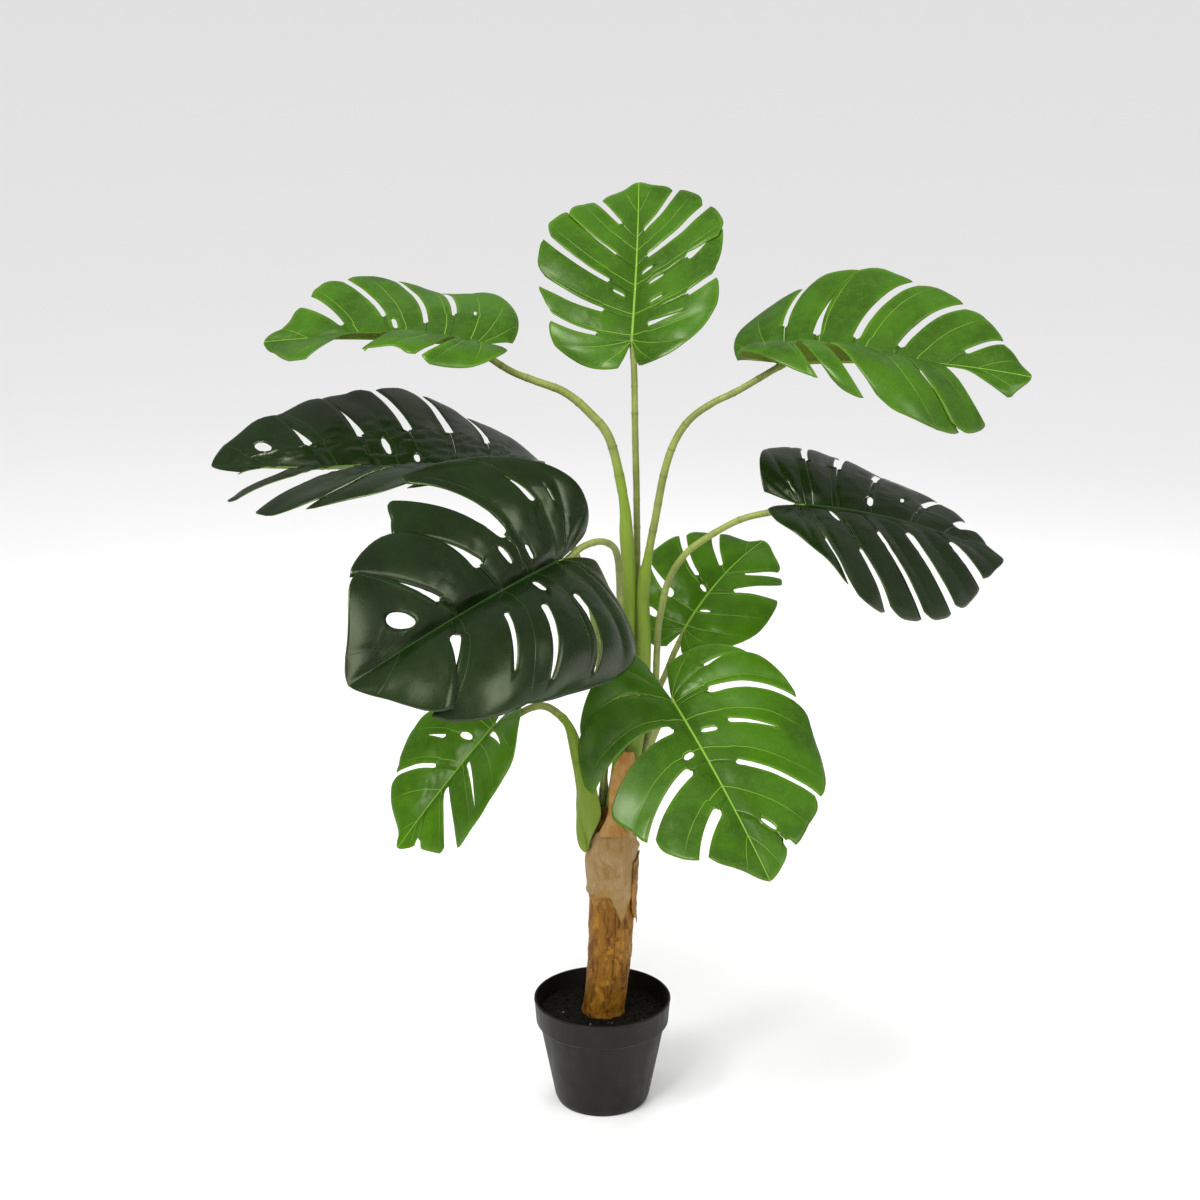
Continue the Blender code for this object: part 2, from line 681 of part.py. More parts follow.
def open_places(half):
    """The places of a half's cuts that are open at one of the rows."""
    return {cut.place for cut in half.cuts if any(opening(cut, out) for out in LOBE_ROWS)}


def column_places(leaf):
    """Where the mesh's columns lie: at the cuts of either half, and half a lobe apart away from them."""
    cut_places = open_places(leaf.left) | open_places(leaf.right)
    kept = set()
    for index in range(2 * LOBES + 1):
        place = index / 2
        if place in (0, LOBES) or all(abs(place - other) > COLUMN_GAP for other in cut_places):
            kept.add(place)
    return sorted(kept | cut_places)


def reach_at(half, place):
    """The length of the blade's line at a place: each lobe's own in its middle, and shared at the seams."""
    lobe = min(LOBES - 1, int(place))
    offset = place - lobe
    neighbour = lobe + 1 if offset > 0.5 else max(0, lobe - 1)
    beside = half.reach[neighbour] if neighbour < LOBES else 2.0 - half.reach[lobe]
    shared = 0.5 * (half.reach[lobe] + beside)
    shortened = 1.0 - BASAL_ROUNDING * max(0.0, 1.0 - place / 0.9) ** 2
    return shortened * (half.reach[lobe] + (shared - half.reach[lobe]) * abs(offset - 0.5) * 2.0)


def shift_at(half, place, part, out):
    """How far a column moves aside for the open cuts near it. Part says which lip of a cut it is."""
    shift = 0.0
    for cut in half.cuts:
        off = place - cut.place
        way = math.copysign(1.0, off) if off else part
        shift += way * opening(cut, out) * max(0.0, 1.0 - abs(off) / 0.5)
    return shift


def make_blade(leaf, parent):
    """A leaf blade: columns of mesh from midrib to margin, parted where a cut opens, then thickened."""
    shape = bmesh.new()
    columns = column_places(leaf)
    for side, half in ((1, leaf.left), (-1, leaf.right)):
        near = None
        parted = open_places(half)
        for place in columns:
            reach = reach_at(half, place)
            for part in (-1, 1) if place in parted else (0,):
                far = []
                for out in LOBE_ROWS:
                    shift = shift_at(half, place, part, out)
                    far.append(shape.verts.new(blade_point(leaf, half, side, place, out, reach, shift)))
                if near and part != 1:
                    for row in range(len(LOBE_ROWS) - 1):
                        corners = (near[row], far[row], far[row + 1], near[row + 1])
                        shape.faces.new(corners if side > 0 else corners[::-1])
                near = far
    bmesh.ops.remove_doubles(shape, verts=shape.verts, dist=1e-5)
    mesh = bpy.data.meshes.new(leaf.name)
    shape.to_mesh(mesh)
    shape.free()
    mesh.shade_smooth()
    solidify(add_object(leaf.name, mesh, leaf.colour, parent), BLADE_THICKNESS, -1.0)


# Stems


def smooth_route(points, per_span):
    """Points along a smooth curve that passes through the route's own points."""
    ends = [2 * points[0] - points[1], *points, 2 * points[-1] - points[-2]]
    route = []
    for before, here, there, after in zip(ends, ends[1:], ends[2:], ends[3:]):
        for step in range(per_span):
            t = step / per_span
            route.append(
                0.5
                * (
                    2 * here
                    + (there - before) * t
                    + (2 * before - 5 * here + 4 * there - after) * t**2
                    + (3 * here - before - 3 * there + after) * t**3
                )
            )
    route.append(points[-1])
    return route


def stem_radius(radii, share):
    """The stem's radius at a share of its points."""
    for (low, first), (high, second) in zip(radii, radii[1:]):
        if share <= high:
            return first + (second - first) * (share - low) / (high - low)
    return radii[-1][1]


def make_stem(stem, leaf, parent):
    """A tube along the stem's route, which ends close under the blade at its junction."""
    point, forward, _, upward = midrib(leaf, 0.0)
    tip_radius = stem.radii[-1][1]
    under = point - upward * (tip_radius + BLADE_THICKNESS + 2 * CLEARANCE) - forward * 0.002
    foot = Vector(stem.route[0])
    upright = foot + Vector((0.0, 0.0, 0.006))
    route = [foot, *smooth_route([upright, *map(Vector, stem.route[1:]), under], 2)]
    curve = bpy.data.curves.new(stem.name, "CURVE")
    curve.dimensions = "3D"
    curve.bevel_depth = 1.0
    curve.bevel_resolution = STEM_SIDES_RESOLUTION
    curve.use_fill_caps = True
    spline = curve.splines.new("POLY")
    spline.points.add(len(route) - 1)
    for index, place in enumerate(route):
        spline.points[index].co = (*place, 1.0)
        spline.points[index].radius = stem_radius(stem.radii, index / (len(route) - 1))
    add_object(stem.name, curve, "stem", parent)


def main():
    for old in list(bpy.data.objects):
        bpy.data.objects.remove(old)
    plant = bpy.data.objects.new("potted_monstera", None)
    bpy.context.scene.collection.objects.link(plant)
    make_pot(plant)
    make_soil(plant)
    make_trunk(plant)
    leaves = {leaf.name: leaf for leaf in LEAVES}
    for leaf in LEAVES:
        make_blade(leaf, plant)
    for stem in STEMS:
        make_stem(stem, leaves[stem.leaf], plant)


main()
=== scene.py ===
"""Potted monstera: the finish of every visible piece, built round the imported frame.

Metres, +Z up. The origin is the centre of the pot's base, and -Y is the side that the plant faces.
"""

import math
import random
from typing import NamedTuple

import bmesh
import bpy
from bpy.props import FloatProperty, FloatVectorProperty, IntProperty, PointerProperty
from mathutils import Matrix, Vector, noise


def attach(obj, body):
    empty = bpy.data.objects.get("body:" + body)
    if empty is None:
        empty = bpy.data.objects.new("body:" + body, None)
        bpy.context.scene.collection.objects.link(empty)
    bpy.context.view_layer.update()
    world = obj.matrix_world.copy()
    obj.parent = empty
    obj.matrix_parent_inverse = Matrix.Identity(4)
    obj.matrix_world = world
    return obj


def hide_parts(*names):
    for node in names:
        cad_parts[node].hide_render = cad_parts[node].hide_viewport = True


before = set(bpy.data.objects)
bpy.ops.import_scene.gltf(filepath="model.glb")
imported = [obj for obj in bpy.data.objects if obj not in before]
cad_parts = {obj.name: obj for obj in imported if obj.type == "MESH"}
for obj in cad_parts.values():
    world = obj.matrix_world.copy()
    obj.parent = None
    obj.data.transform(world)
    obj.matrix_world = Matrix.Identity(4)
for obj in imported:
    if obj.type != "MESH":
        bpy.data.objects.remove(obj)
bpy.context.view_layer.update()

bl_info = {
    "name": "Potted Monstera",
    "version": (1, 0, 0),
    "blender": (4, 5, 0),
    "location": "3D View > Sidebar > Monstera",
    "description": "Builds the leaves, stems, bark, soil and pot of a potted monstera",
    "category": "Object",
}

BODY = "root"

# Pot and soil, as the frame has them
POT_HEIGHT = 0.141
POT_RIM_RADIUS = 0.0875
POT_BASE_RADIUS = 0.060
RIM_BAND = 0.032
RIM_STEP = 0.0045
POT_WALL = 0.0022
POT_FLOOR = 0.003
SOIL_LEVEL = 0.1235

# Trunk: height, centre x, centre y, radius
TRUNK = (
    (0.0305, 0.000, 0.000, 0.0250),
    (0.124, 0.001, 0.000, 0.0250),
    (0.160, 0.006, 0.000, 0.0255),
    (0.210, 0.010, 0.000, 0.0265),
    (0.275, 0.012, 0.000, 0.0275),
    (0.330, 0.0115, 0.000, 0.0305),
    (0.372, 0.015, 0.001, 0.0285),
    (0.403, 0.020, 0.002, 0.0265),
)

# Leaves
LOBES = 7
BLADE_THICKNESS = 0.0009
RIB_THICKNESS = 0.0042
FRAME_STEPS = 130
FIRST_SHARE, LAST_SHARE = -0.30, 1.04
BASAL_ROUNDING = 0.18


class Cut(NamedTuple):
    """A slit or hole along a seam: place in lobes from the sinus, then start and end from midrib to margin.

    A slit's width grows or shrinks to flare times its start, and below nothing its lobes overlap. The lobe on
    the tip's side stands higher by the step.
    """

    place: float
    start: float
    end: float
    width: float
    flare: float = 0.3
    step: float = 0.0025


class Half(NamedTuple):
    """One side of a blade: width, tilt and curl in degrees at base, middle and tip, lobe lengths and cuts."""

    width: float
    lift: tuple
    curl: tuple
    reach: tuple
    cuts: tuple


class Leaf(NamedTuple):
    """A blade: where its stem joins, then its midrib's direction, bend, sweep, roll and twist in degrees."""

    name: str
    green: str
    junction: tuple
    heading: float
    pitch: float
    bend: float
    sweep: float
    roll: float
    twist: float
    length: float
    pleat: float
    crinkle: float
    left: Half
    right: Half


class Stem(NamedTuple):
    """A stem: the route of its centre, (share, radius) pairs along it, and the share its sheath covers."""

    name: str
    leaf: str
    route: tuple
    radii: tuple
    sheath: float = 0.0


LEAVES = (
    Leaf(
        "top_leaf", "mid", (0.035, 0.037, 0.982), 84, 51, 14, 5, -6, -1, 0.243, 0.0022, 0.0006,
        Half(
            1.00, (26, 27, 12), (30, 15, 16), (1.02, 1.08, 0.90, 1.00, 1.04, 0.98, 1.00),
            (
                Cut(2.3, 0.42, 1.0, 0.022, 1.8), Cut(3.3, 0.30, 1.0, 0.022, 2.6),
                Cut(4, 0.09, 0.21, 0.022, 0.0),
                Cut(4.2, 0.26, 1.0, 0.026, 1.2), Cut(5, 0.25, 1.0, 0.016, -1.2, 0.004),
                Cut(5.8, 0.36, 1.0, 0.026, 1.4),
            ),
        ),
        Half(
            0.98, (33, 22, 15), (40, 19, 16), (0.96, 0.98, 0.98, 0.90, 1.05, 1.06, 1.03),
            (
                Cut(2.8, 0.20, 0.60, 0.028, 0.2), Cut(3.3, 0.66, 1.0, 0.030, 1.5, -0.004),
                Cut(3.65, 0.20, 0.34, 0.018, 0.0), Cut(4.25, 0.16, 0.32, 0.020, 0.0),
                Cut(4.3, 0.58, 1.0, 0.060, -1.0, 0.006), Cut(4.7, 0.07, 0.20, 0.024, 0.0),
                Cut(5.05, 0.15, 1.0, 0.032, 1.0), Cut(5.85, 0.14, 1.0, 0.024, 1.2),
            ),
        ),
    ),
    Leaf(
        "upper_left_leaf", "mid", (-0.150, -0.013, 0.985), 172, 6, 14, -4, -5, -10, 0.258, 0.0024, 0.0010,
        Half(
            0.97, (32, 37, -7), (80, 70, 62), (1.00, 1.00, 0.98, 0.74, 0.74, 0.94, 1.00),
            (Cut(2.8, 0.30, 1.0, 0.020, 2.0, -0.004), Cut(4.6, 0.24, 1.0, 0.100, 3.0)),
        ),
        Half(
            1.09, (28, 22, 33), (24, 23, 9), (1.02, 1.03, 1.00, 1.02, 1.10, 1.08, 0.84),
            (
                Cut(2.65, 0.37, 0.45, 0.018, 0.0), Cut(3.3, 0.36, 1.0, 0.020, 2.0),
                Cut(4, 0.20, 1.0, 0.022, 1.2),
                Cut(4.7, 0.10, 0.23, 0.028, 0.0), Cut(4.85, 0.28, 1.0, 0.022, 1.6),
                Cut(5.7, 0.24, 1.0, 0.024, 3.6),
            ),
        ),
    ),
    Leaf(
        "upper_right_leaf", "mid", (0.209, -0.015, 0.964), -2, 5, 15, -5, 13, 18, 0.293, 0.0026, 0.0008,
        Half(
            1.02, (21, 26, 9), (14, 18, 32), (1.06, 1.08, 0.98, 1.03, 0.97, 0.93, 0.96),
            (
                Cut(2.5, 0.45, 1.0, 0.018, 1.2), Cut(3.42, 0.24, 1.0, 0.032, -0.8, 0.006),
                Cut(4.25, 0.20, 1.0, 0.030, 1.2), Cut(5.1, 0.16, 1.0, 0.030, 1.0),
                Cut(6.05, 0.34, 1.0, 0.026, 1.0),
            ),
        ),
        Half(
            1.02, (76, 52, -22), (135, 92, 40), (1.00, 1.00, 0.96, 1.00, 1.04, 1.04, 0.98),
            (
                Cut(2.7, 0.50, 1.0, 0.030, 2.0, -0.004), Cut(3.5, 0.35, 1.0, 0.040, 1.5),
                Cut(4.9, 0.55, 1.0, 0.014, -2.0, 0.005), Cut(5.9, 0.22, 1.0, 0.080, 2.2),
            ),
        ),
    ),
    Leaf(
        "dark_left_leaf", "deep", (-0.130, -0.028, 0.843), 184, 0, 3, -22, 10, -6, 0.345, 0.0030, 0.0028,
        Half(
            1.00, (13, 5, -10), (40, 23, 65), (1.00, 1.00, 1.00, 1.00, 1.06, 1.00, 0.50),
            (
                Cut(3.1, 0.50, 1.0, 0.020, 0.6), Cut(4.1, 0.35, 1.0, 0.012, -2.0, 0.005),
                Cut(5.1, 0.10, 1.0, 0.080, 1.8), Cut(6, 0.10, 1.0, 0.080, 1.6),
            ),
        ),
        Half(
            1.06, (18, 39, 42), (4, 22, 20), (1.10, 1.10, 1.06, 1.06, 0.97, 1.00, 1.18),
            (
                Cut(2.4, 0.40, 1.0, 0.022, 1.0), Cut(3.35, 0.42, 1.0, 0.032, 0.8),
                Cut(4.1, 0.40, 1.0, 0.034, 0.8),
                Cut(4.15, 0.045, 0.115, 0.022, 0.0), Cut(4.6, 0.13, 0.31, 0.026, 0.0),
                Cut(4.9, 0.36, 1.0, 0.030, -0.6, 0.005), Cut(5.7, 0.32, 1.0, 0.032, -0.9, 0.006),
                Cut(6.25, 0.36, 0.62, 0.045, 0.0),
            ),
        ),
    ),
    Leaf(
        "dark_front_leaf", "deep", (-0.047, -0.170, 0.767), 236, -4, 12, -9, -17, -9, 0.349, 0.0032, 0.0010,
        Half(
            1.00, (-5, 36, -12), (57, 120, 42), (1.00, 1.02, 1.00, 0.98, 0.92, 1.03, 1.00),
            (
                Cut(3.35, 0.30, 0.88, 0.030, 0.6), Cut(3.95, 0.11, 0.23, 0.030, 0.0),
                Cut(4.2, 0.34, 0.86, 0.030, 0.6),
                Cut(4.85, 0.30, 0.74, 0.018, 0.8), Cut(5.65, 0.30, 1.0, 0.044, -1.2, 0.012),
            ),
        ),
        Half(
            1.00, (73, 52, 49), (72, 58, 12), (0.97, 0.98, 1.02, 1.04, 0.76, 0.98, 1.03),
            (
                Cut(2, 0.45, 0.56, 0.010, 0.0), Cut(2.65, 0.42, 0.66, 0.026, 0.2),
                Cut(3.45, 0.08, 0.17, 0.018, 0.0),
                Cut(3.75, 0.30, 1.0, 0.040, 3.2), Cut(4, 0.13, 0.27, 0.024, 0.0),
                Cut(4.5, 0.28, 1.0, 0.044, -0.9, 0.006), Cut(5.45, 0.22, 1.0, 0.024, -0.9, 0.005),
                Cut(6, 0.22, 0.56, 0.060, 0.0),
            ),
        ),
    ),
    Leaf(
        "dark_right_leaf", "deep", (0.232, -0.056, 0.803), 19, -8, 21, 4, 15, 5, 0.297, 0.0030, 0.0010,
        Half(
            0.99, (40, 21, 13), (68, 45, 30), (0.90, 0.96, 0.97, 0.96, 0.90, 0.84, 0.84),
            (
                Cut(2.8, 0.50, 1.0, 0.026, 1.2), Cut(3.65, 0.50, 1.0, 0.032, 1.4),
                Cut(4.4, 0.50, 1.0, 0.024, 1.0),
                Cut(4.45, 0.08, 0.20, 0.032, 0.0), Cut(5.05, 0.25, 0.36, 0.020, 0.0),
                Cut(5.4, 0.50, 1.0, 0.026, 1.0),
                Cut(6.1, 0.42, 1.0, 0.045, 1.5),
            ),
        ),
        Half(
            1.02, (10, -8, -16), (43, 42, 56), (1.02, 1.00, 1.03, 0.98, 0.97, 0.98, 0.98),
            (
                Cut(2.2, 0.60, 1.0, 0.020, -1.0, 0.006), Cut(3.25, 0.08, 0.23, 0.024, 0.0),
                Cut(3.4, 0.50, 1.0, 0.024, 1.6), Cut(4.2, 0.26, 1.0, 0.022, 0.9),
                Cut(5, 0.20, 1.0, 0.042, 0.8),
                Cut(5.95, 0.24, 1.0, 0.050, 0.9),
            ),
        ),
    ),
    Leaf(
        "small_back_leaf", "young", (0.106, 0.145, 0.589), 51, 40, 30, 0, 9, 6, 0.195, 0.0020, 0.0005,
        Half(
            1.02, (9, 23, 2), (38, 16, 36), (1.00, 1.00, 1.00, 1.00, 1.00, 0.96, 0.98),
            (
                Cut(2.5, 0.45, 0.66, 0.050, 0.0), Cut(3.55, 0.35, 0.88, 0.055, 0.5),
                Cut(4.5, 0.04, 0.15, 0.034, 0.0),
                Cut(4.6, 0.28, 1.0, 0.030, 1.4), Cut(5.5, 0.18, 1.0, 0.034, 1.6),
            ),
        ),
        Half(
            0.96, (10, 12, 2), (20, 50, 35), (1.05, 1.05, 1.00, 0.98, 0.96, 1.03, 1.08),
            (
                Cut(3.6, 0.05, 0.20, 0.022, 0.0), Cut(4.6, 0.34, 1.0, 0.036, 3.6),
                Cut(5.35, 0.36, 1.0, 0.022, 2.0),
            ),
        ),
    ),
    Leaf(
        "lower_front_leaf", "mid", (0.081, -0.124, 0.585), -69, -18, 18, 5, 5, 0, 0.287, 0.0026, 0.0007,
        Half(
            0.99, (30, 13, 13), (33, 34, 27), (1.14, 1.09, 1.05, 1.02, 0.99, 0.93, 0.98),
            (
                Cut(1.5, 0.52, 1.0, 0.022, -0.8, 0.004), Cut(2.8, 0.28, 1.0, 0.036, 0.9),
                Cut(3.85, 0.28, 0.66, 0.030, 0.2), Cut(4.05, 0.06, 0.18, 0.026, 0.0),
                Cut(4.9, 0.23, 1.0, 0.030, 0.7), Cut(6, 0.40, 0.66, 0.024, 0.0),
                Cut(6.05, 0.86, 1.0, 0.030, 1.5),
            ),
        ),
        Half(
            0.99, (39, 6, 16), (40, 34, 27), (1.00, 0.98, 1.00, 1.03, 0.94, 0.99, 0.97),
            (
                Cut(2.55, 0.38, 1.0, 0.012, -1.5, 0.005), Cut(3.8, 0.16, 1.0, 0.042, 2.4),
                Cut(4.55, 0.09, 0.20, 0.032, 0.0), Cut(4.85, 0.22, 1.0, 0.046, 0.6),
                Cut(5.75, 0.24, 1.0, 0.048, 0.6),
            ),
        ),
    ),
    Leaf(
        "lower_left_leaf", "young", (-0.139, 0.086, 0.477), 212, -41, 10, -9, -9, -10, 0.197, 0.0020, 0.0006,
        Half(
            1.00, (32, 18, -5), (27, 20, 35), (1.10, 1.02, 1.00, 1.00, 1.00, 1.08, 1.00),
            (
                Cut(2.8, 0.14, 0.60, 0.042, 0.3), Cut(4.25, 0.16, 0.86, 0.034, 0.4),
                Cut(5.25, 0.12, 1.0, 0.045, 2.0),
                Cut(6.2, 0.80, 1.0, 0.030, 1.5),
            ),
        ),
        Half(
            1.02, (17, 20, 9), (28, 24, 30), (1.00, 1.00, 1.04, 1.04, 0.93, 0.92, 0.90),
            (
                Cut(3.5, 0.10, 0.26, 0.048, 0.0), Cut(3.75, 0.42, 0.68, 0.034, 0.2),
                Cut(4.75, 0.33, 1.0, 0.034, 1.0),
            ),
        ),
    ),
)

SLIM = ((0.0, 0.0045), (0.3, 0.0042), (1.0, 0.0038))
STEMS = (
    Stem(
        "top_stem", "top_leaf",
        (
            (0.021, 0.008, 0.4035), (0.031, 0.014, 0.480), (0.039, 0.017, 0.560), (0.042, 0.012, 0.650),
            (0.042, 0.007, 0.720), (0.041, 0.012, 0.800), (0.039, 0.022, 0.880), (0.038, 0.029, 0.940),
        ),
        SLIM,
    ),
    Stem(
        "upper_left_stem", "upper_left_leaf",
        (
            (0.012, -0.008, 0.4035), (0.020, -0.008, 0.460), (0.028, -0.005, 0.540), (0.031, -0.006, 0.620),
            (0.032, -0.010, 0.690), (0.029, -0.012, 0.750), (0.025, -0.014, 0.800), (0.009, -0.015, 0.871),
            (-0.015, -0.015, 0.904), (-0.045, -0.015, 0.929), (-0.081, -0.015, 0.943),
            (-0.110, -0.014, 0.955),
        ),
        ((0.0, 0.0070), (0.22, 0.0085), (0.42, 0.0085), (0.52, 0.0055), (1.0, 0.0038)),
        0.52,
    ),
    Stem(
        "upper_right_stem", "upper_right_leaf",
        (
            (0.028, -0.008, 0.4035), (0.038, -0.009, 0.460), (0.048, -0.008, 0.540), (0.051, -0.008, 0.620),
            (0.049, -0.010, 0.680), (0.056, -0.014, 0.735), (0.063, -0.015, 0.774), (0.073, -0.015, 0.830),
            (0.085, -0.015, 0.868), (0.103, -0.015, 0.896), (0.130, -0.015, 0.916), (0.160, -0.015, 0.931),
        ),
        ((0.0, 0.0068), (0.22, 0.0085), (0.38, 0.0080), (0.42, 0.0048), (1.0, 0.0038)),
        0.42,
    ),
    Stem(
        "dark_left_stem", "dark_left_leaf",
        (
            (0.004, 0.012, 0.4035), (0.000, 0.019, 0.470), (-0.002, 0.018, 0.550), (-0.008, 0.010, 0.620),
            (-0.015, 0.000, 0.670), (-0.026, -0.012, 0.715), (-0.043, -0.021, 0.757), (-0.068, -0.028, 0.795),
            (-0.095, -0.031, 0.825),
        ),
        SLIM,
    ),
    Stem(
        "dark_front_stem", "dark_front_leaf",
        (
            (-0.001, 0.000, 0.4035), (0.004, -0.004, 0.460), (0.012, -0.012, 0.530), (0.019, -0.021, 0.600),
            (0.021, -0.034, 0.660), (0.020, -0.050, 0.713), (0.017, -0.068, 0.745), (0.010, -0.095, 0.764),
            (-0.004, -0.121, 0.775), (-0.022, -0.139, 0.774), (-0.036, -0.152, 0.766),
            (-0.042, -0.158, 0.7625),
        ),
        SLIM,
    ),
    Stem(
        "dark_right_stem", "dark_right_leaf",
        (
            (0.039, 0.003, 0.4035), (0.052, 0.008, 0.470), (0.064, 0.006, 0.540), (0.0665, -0.003, 0.600),
            (0.0675, -0.014, 0.635), (0.071, -0.024, 0.665), (0.079, -0.030, 0.702), (0.095, -0.035, 0.732),
            (0.116, -0.040, 0.753), (0.160, -0.050, 0.782), (0.200, -0.056, 0.794),
        ),
        SLIM,
    ),
    Stem(
        "small_back_stem", "small_back_leaf",
        (
            (0.033, 0.018, 0.4035), (0.040, 0.026, 0.450), (0.052, 0.046, 0.490), (0.068, 0.078, 0.522),
            (0.082, 0.106, 0.543), (0.092, 0.125, 0.562),
        ),
        SLIM,
    ),
    Stem(
        "lower_front_stem", "lower_front_leaf",
        (
            (0.037, -0.017, 0.4035), (0.045, -0.034, 0.450), (0.055, -0.060, 0.495), (0.065, -0.088, 0.535),
            (0.073, -0.107, 0.562),
        ),
        SLIM,
    ),
    Stem(
        "lower_left_stem", "lower_left_leaf",
        (
            (-0.022, -0.014, 0.346), (-0.025, -0.011, 0.376), (-0.024, -0.006, 0.420), (-0.029, 0.004, 0.455),
            (-0.036, 0.022, 0.482), (-0.044, 0.038, 0.497), (-0.056, 0.050, 0.506), (-0.071, 0.060, 0.512),
            (-0.087, 0.070, 0.508), (-0.105, 0.076, 0.497), (-0.122, 0.081, 0.480),
        ),
        ((0.0, 0.0025), (0.12, 0.0080), (0.32, 0.0085), (0.50, 0.0050), (1.0, 0.0038)),
        0.50,
    ),
)

# Strips: height, centre x and y, radius in x and y, and start and end in degrees
TONGUE = (
    (0.374, 0.0130, -0.0265, 0.0270, 0.0075, -138, -42),
    (0.382, 0.0125, -0.0265, 0.0200, 0.0065, -138, -42),
    (0.392, 0.0120, -0.0260, 0.0115, 0.0050, -138, -42),
    (0.406, 0.0135, -0.0255, 0.0080, 0.0035, -138, -42),
    (0.425, 0.0175, -0.0250, 0.0125, 0.0035, -138, -42),
    (0.450, 0.0240, -0.0230, 0.0175, 0.0040, -138, -42),
    (0.468, 0.0290, -0.0220, 0.0160, 0.0035, -138, -42),
    (0.482, 0.0330, -0.0215, 0.0080, 0.0030, -138, -42),
)
GREEN_WRAP = (
    (0.352, 0.0125, 0.0000, 0.0350, 0.0350, -153, -148),
    (0.365, 0.0100, 0.0000, 0.0360, 0.0345, -170, -135),
    (0.382, 0.0050, 0.0000, 0.0365, 0.0330, -182, -113),
    (0.402, 0.0010, 0.0000, 0.0340, 0.0295, -182, -95),
    (0.425, -0.0080, -0.0010, 0.0250, 0.0225, -182, -84),
    (0.445, -0.0175, 0.0010, 0.0170, 0.0165, -182, -70),
    (0.460, -0.0260, 0.0050, 0.0110, 0.0110, -182, -70),
)

BARK_THICKNESS = 0.0008
TONGUE_THICKNESS = 0.0014
WRAP_THICKNESS = 0.0012


# Settings: what a user may change


def colour_property(name, description, default):
    """A colour setting."""
    return FloatVectorProperty(
        name=name, description=description, default=default, subtype="COLOR", size=3, min=0.0, max=1.0
    )


def factor_property(name, description, default):
    """A setting from 0 to 1."""
    return FloatProperty(
        name=name, description=description, default=default, min=0.0, max=1.0, subtype="FACTOR"
    )


def length_property(name, description, default, least, most):
    """A length in metres."""
    return FloatProperty(
        name=name, description=description, default=default, min=least, max=most, unit="LENGTH"
    )


def power_property(name, description, default):
    """A light's power in watts."""
    return FloatProperty(name=name, description=description, default=default, min=0.0, unit="POWER")


class PotSettings(bpy.types.PropertyGroup):
    """The nursery pot's finish."""

    colour: colour_property("Plastic", "Colour of the pot's plastic", (0.0088, 0.0070, 0.0042))
    roughness: factor_property("Roughness", "How dull the plastic is", 0.46)
    sides: IntProperty(name="Sides", description="Facets round the pot", default=128, min=24, max=256)


class SoilSettings(bpy.types.PropertyGroup):
    """The potting soil."""

    colour: colour_property("Soil", "Colour of the damp soil", (0.0032, 0.0026, 0.0016))
    fleck: colour_property("Flecks", "Colour of the few pale flecks", (0.20, 0.17, 0.13))
    lump: length_property("Lump height", "How far lumps stand up", 0.0028, 0.0, 0.006)
    crumbs: IntProperty(name="Crumbs", description="Loose crumbs on the soil", default=900, min=0, max=4000)


class BarkSettings(bpy.types.PropertyGroup):
    """The trunk's wraps of bark."""

    golden: colour_property("Golden", "Light tone of the lower bark", (0.37, 0.175, 0.015))
    brown: colour_property("Brown", "Dark tone of the lower bark", (0.085, 0.024, 0.0015))
    pale: colour_property("Pale", "Light tone of the upper sheath", (0.36, 0.25, 0.115))
    wrinkle: length_property("Wrinkle depth", "How deep the wrinkles are", 0.0011, 0.0, 0.003)


class StemSettings(bpy.types.PropertyGroup):
    """The stems."""

    olive: colour_property("Stem", "Colour of a stem", (0.22, 0.26, 0.060))
    sheath: colour_property("Sheath", "Colour of a sheath at a stem's base", (0.17, 0.235, 0.014))
    ring_spacing: length_property("Ring spacing", "Distance between joints", 0.034, 0.01, 0.2)
    ring_height: length_property("Ring height", "How far a joint stands out", 0.00035, 0.0, 0.002)
    sides: IntProperty(name="Sides", description="Facets round a stem", default=20, min=8, max=48)


class LeafSettings(bpy.types.PropertyGroup):
    """The leaves."""

    mid: colour_property("Leaf green", "Top of the full-grown leaves", (0.033, 0.100, 0.0026))
    deep: colour_property("Deep green", "Top of the oldest leaves", (0.0038, 0.0125, 0.0012))
    # The young green is partly the back leaves' own lighter colour and partly painted light: a brighter
    # yellow-green that stands in for light shining through these two back leaves.
    young: colour_property("Young green", "Top of the young leaves", (0.042, 0.128, 0.0010))
    vein: colour_property("Vein", "Veins of the green leaves", (0.150, 0.290, 0.030))
    deep_vein: colour_property("Deep vein", "Veins of the deep green leaves", (0.012, 0.042, 0.005))
    margin: colour_property("Margin", "Yellow-green tint of the margins", (0.090, 0.200, 0.006))
    under: colour_property("Underside", "Underside of the leaves", (0.120, 0.190, 0.012))
    roughness: factor_property("Roughness", "How dull the tops are", 0.32)
    columns: IntProperty(name="Columns", description="Mesh columns in each lobe", default=12, min=2, max=24)
    rows: IntProperty(name="Rows", description="Mesh rows from midrib to margin", default=44, min=12, max=96)


class StageSettings(bpy.types.PropertyGroup):
    """The floor, the lights and the camera."""

    floor: colour_property("Floor", "Colour of the floor", (0.90, 0.90, 0.90))
    key: power_property("Key light", "Power of the key light", 78.0)
    fill: power_property("Fill light", "Power of the fill and back lights", 25.0)
    overhead: FloatProperty(
        name="Overhead", description="Strength of the soft overhead light", default=1.9, min=0.0, max=10.0
    )
    sky: FloatProperty(
        name="Sky", description="Brightness of the white surroundings", default=0.32, min=0.0, max=4.0
    )
    lens: FloatProperty(
        name="Lens", description="Focal length of the camera", default=66.8, min=10.0, unit="CAMERA"
    )
    distance: length_property("Distance", "How far the camera stands from the pot", 2.6, 0.5, 20.0)
    height: length_property("Height", "Height of the camera", 1.428, 0.0, 20.0)
    tilt: FloatProperty(
        name="Tilt", description="How far the camera looks down", default=math.radians(16.26), subtype="ANGLE"
    )


# Materials


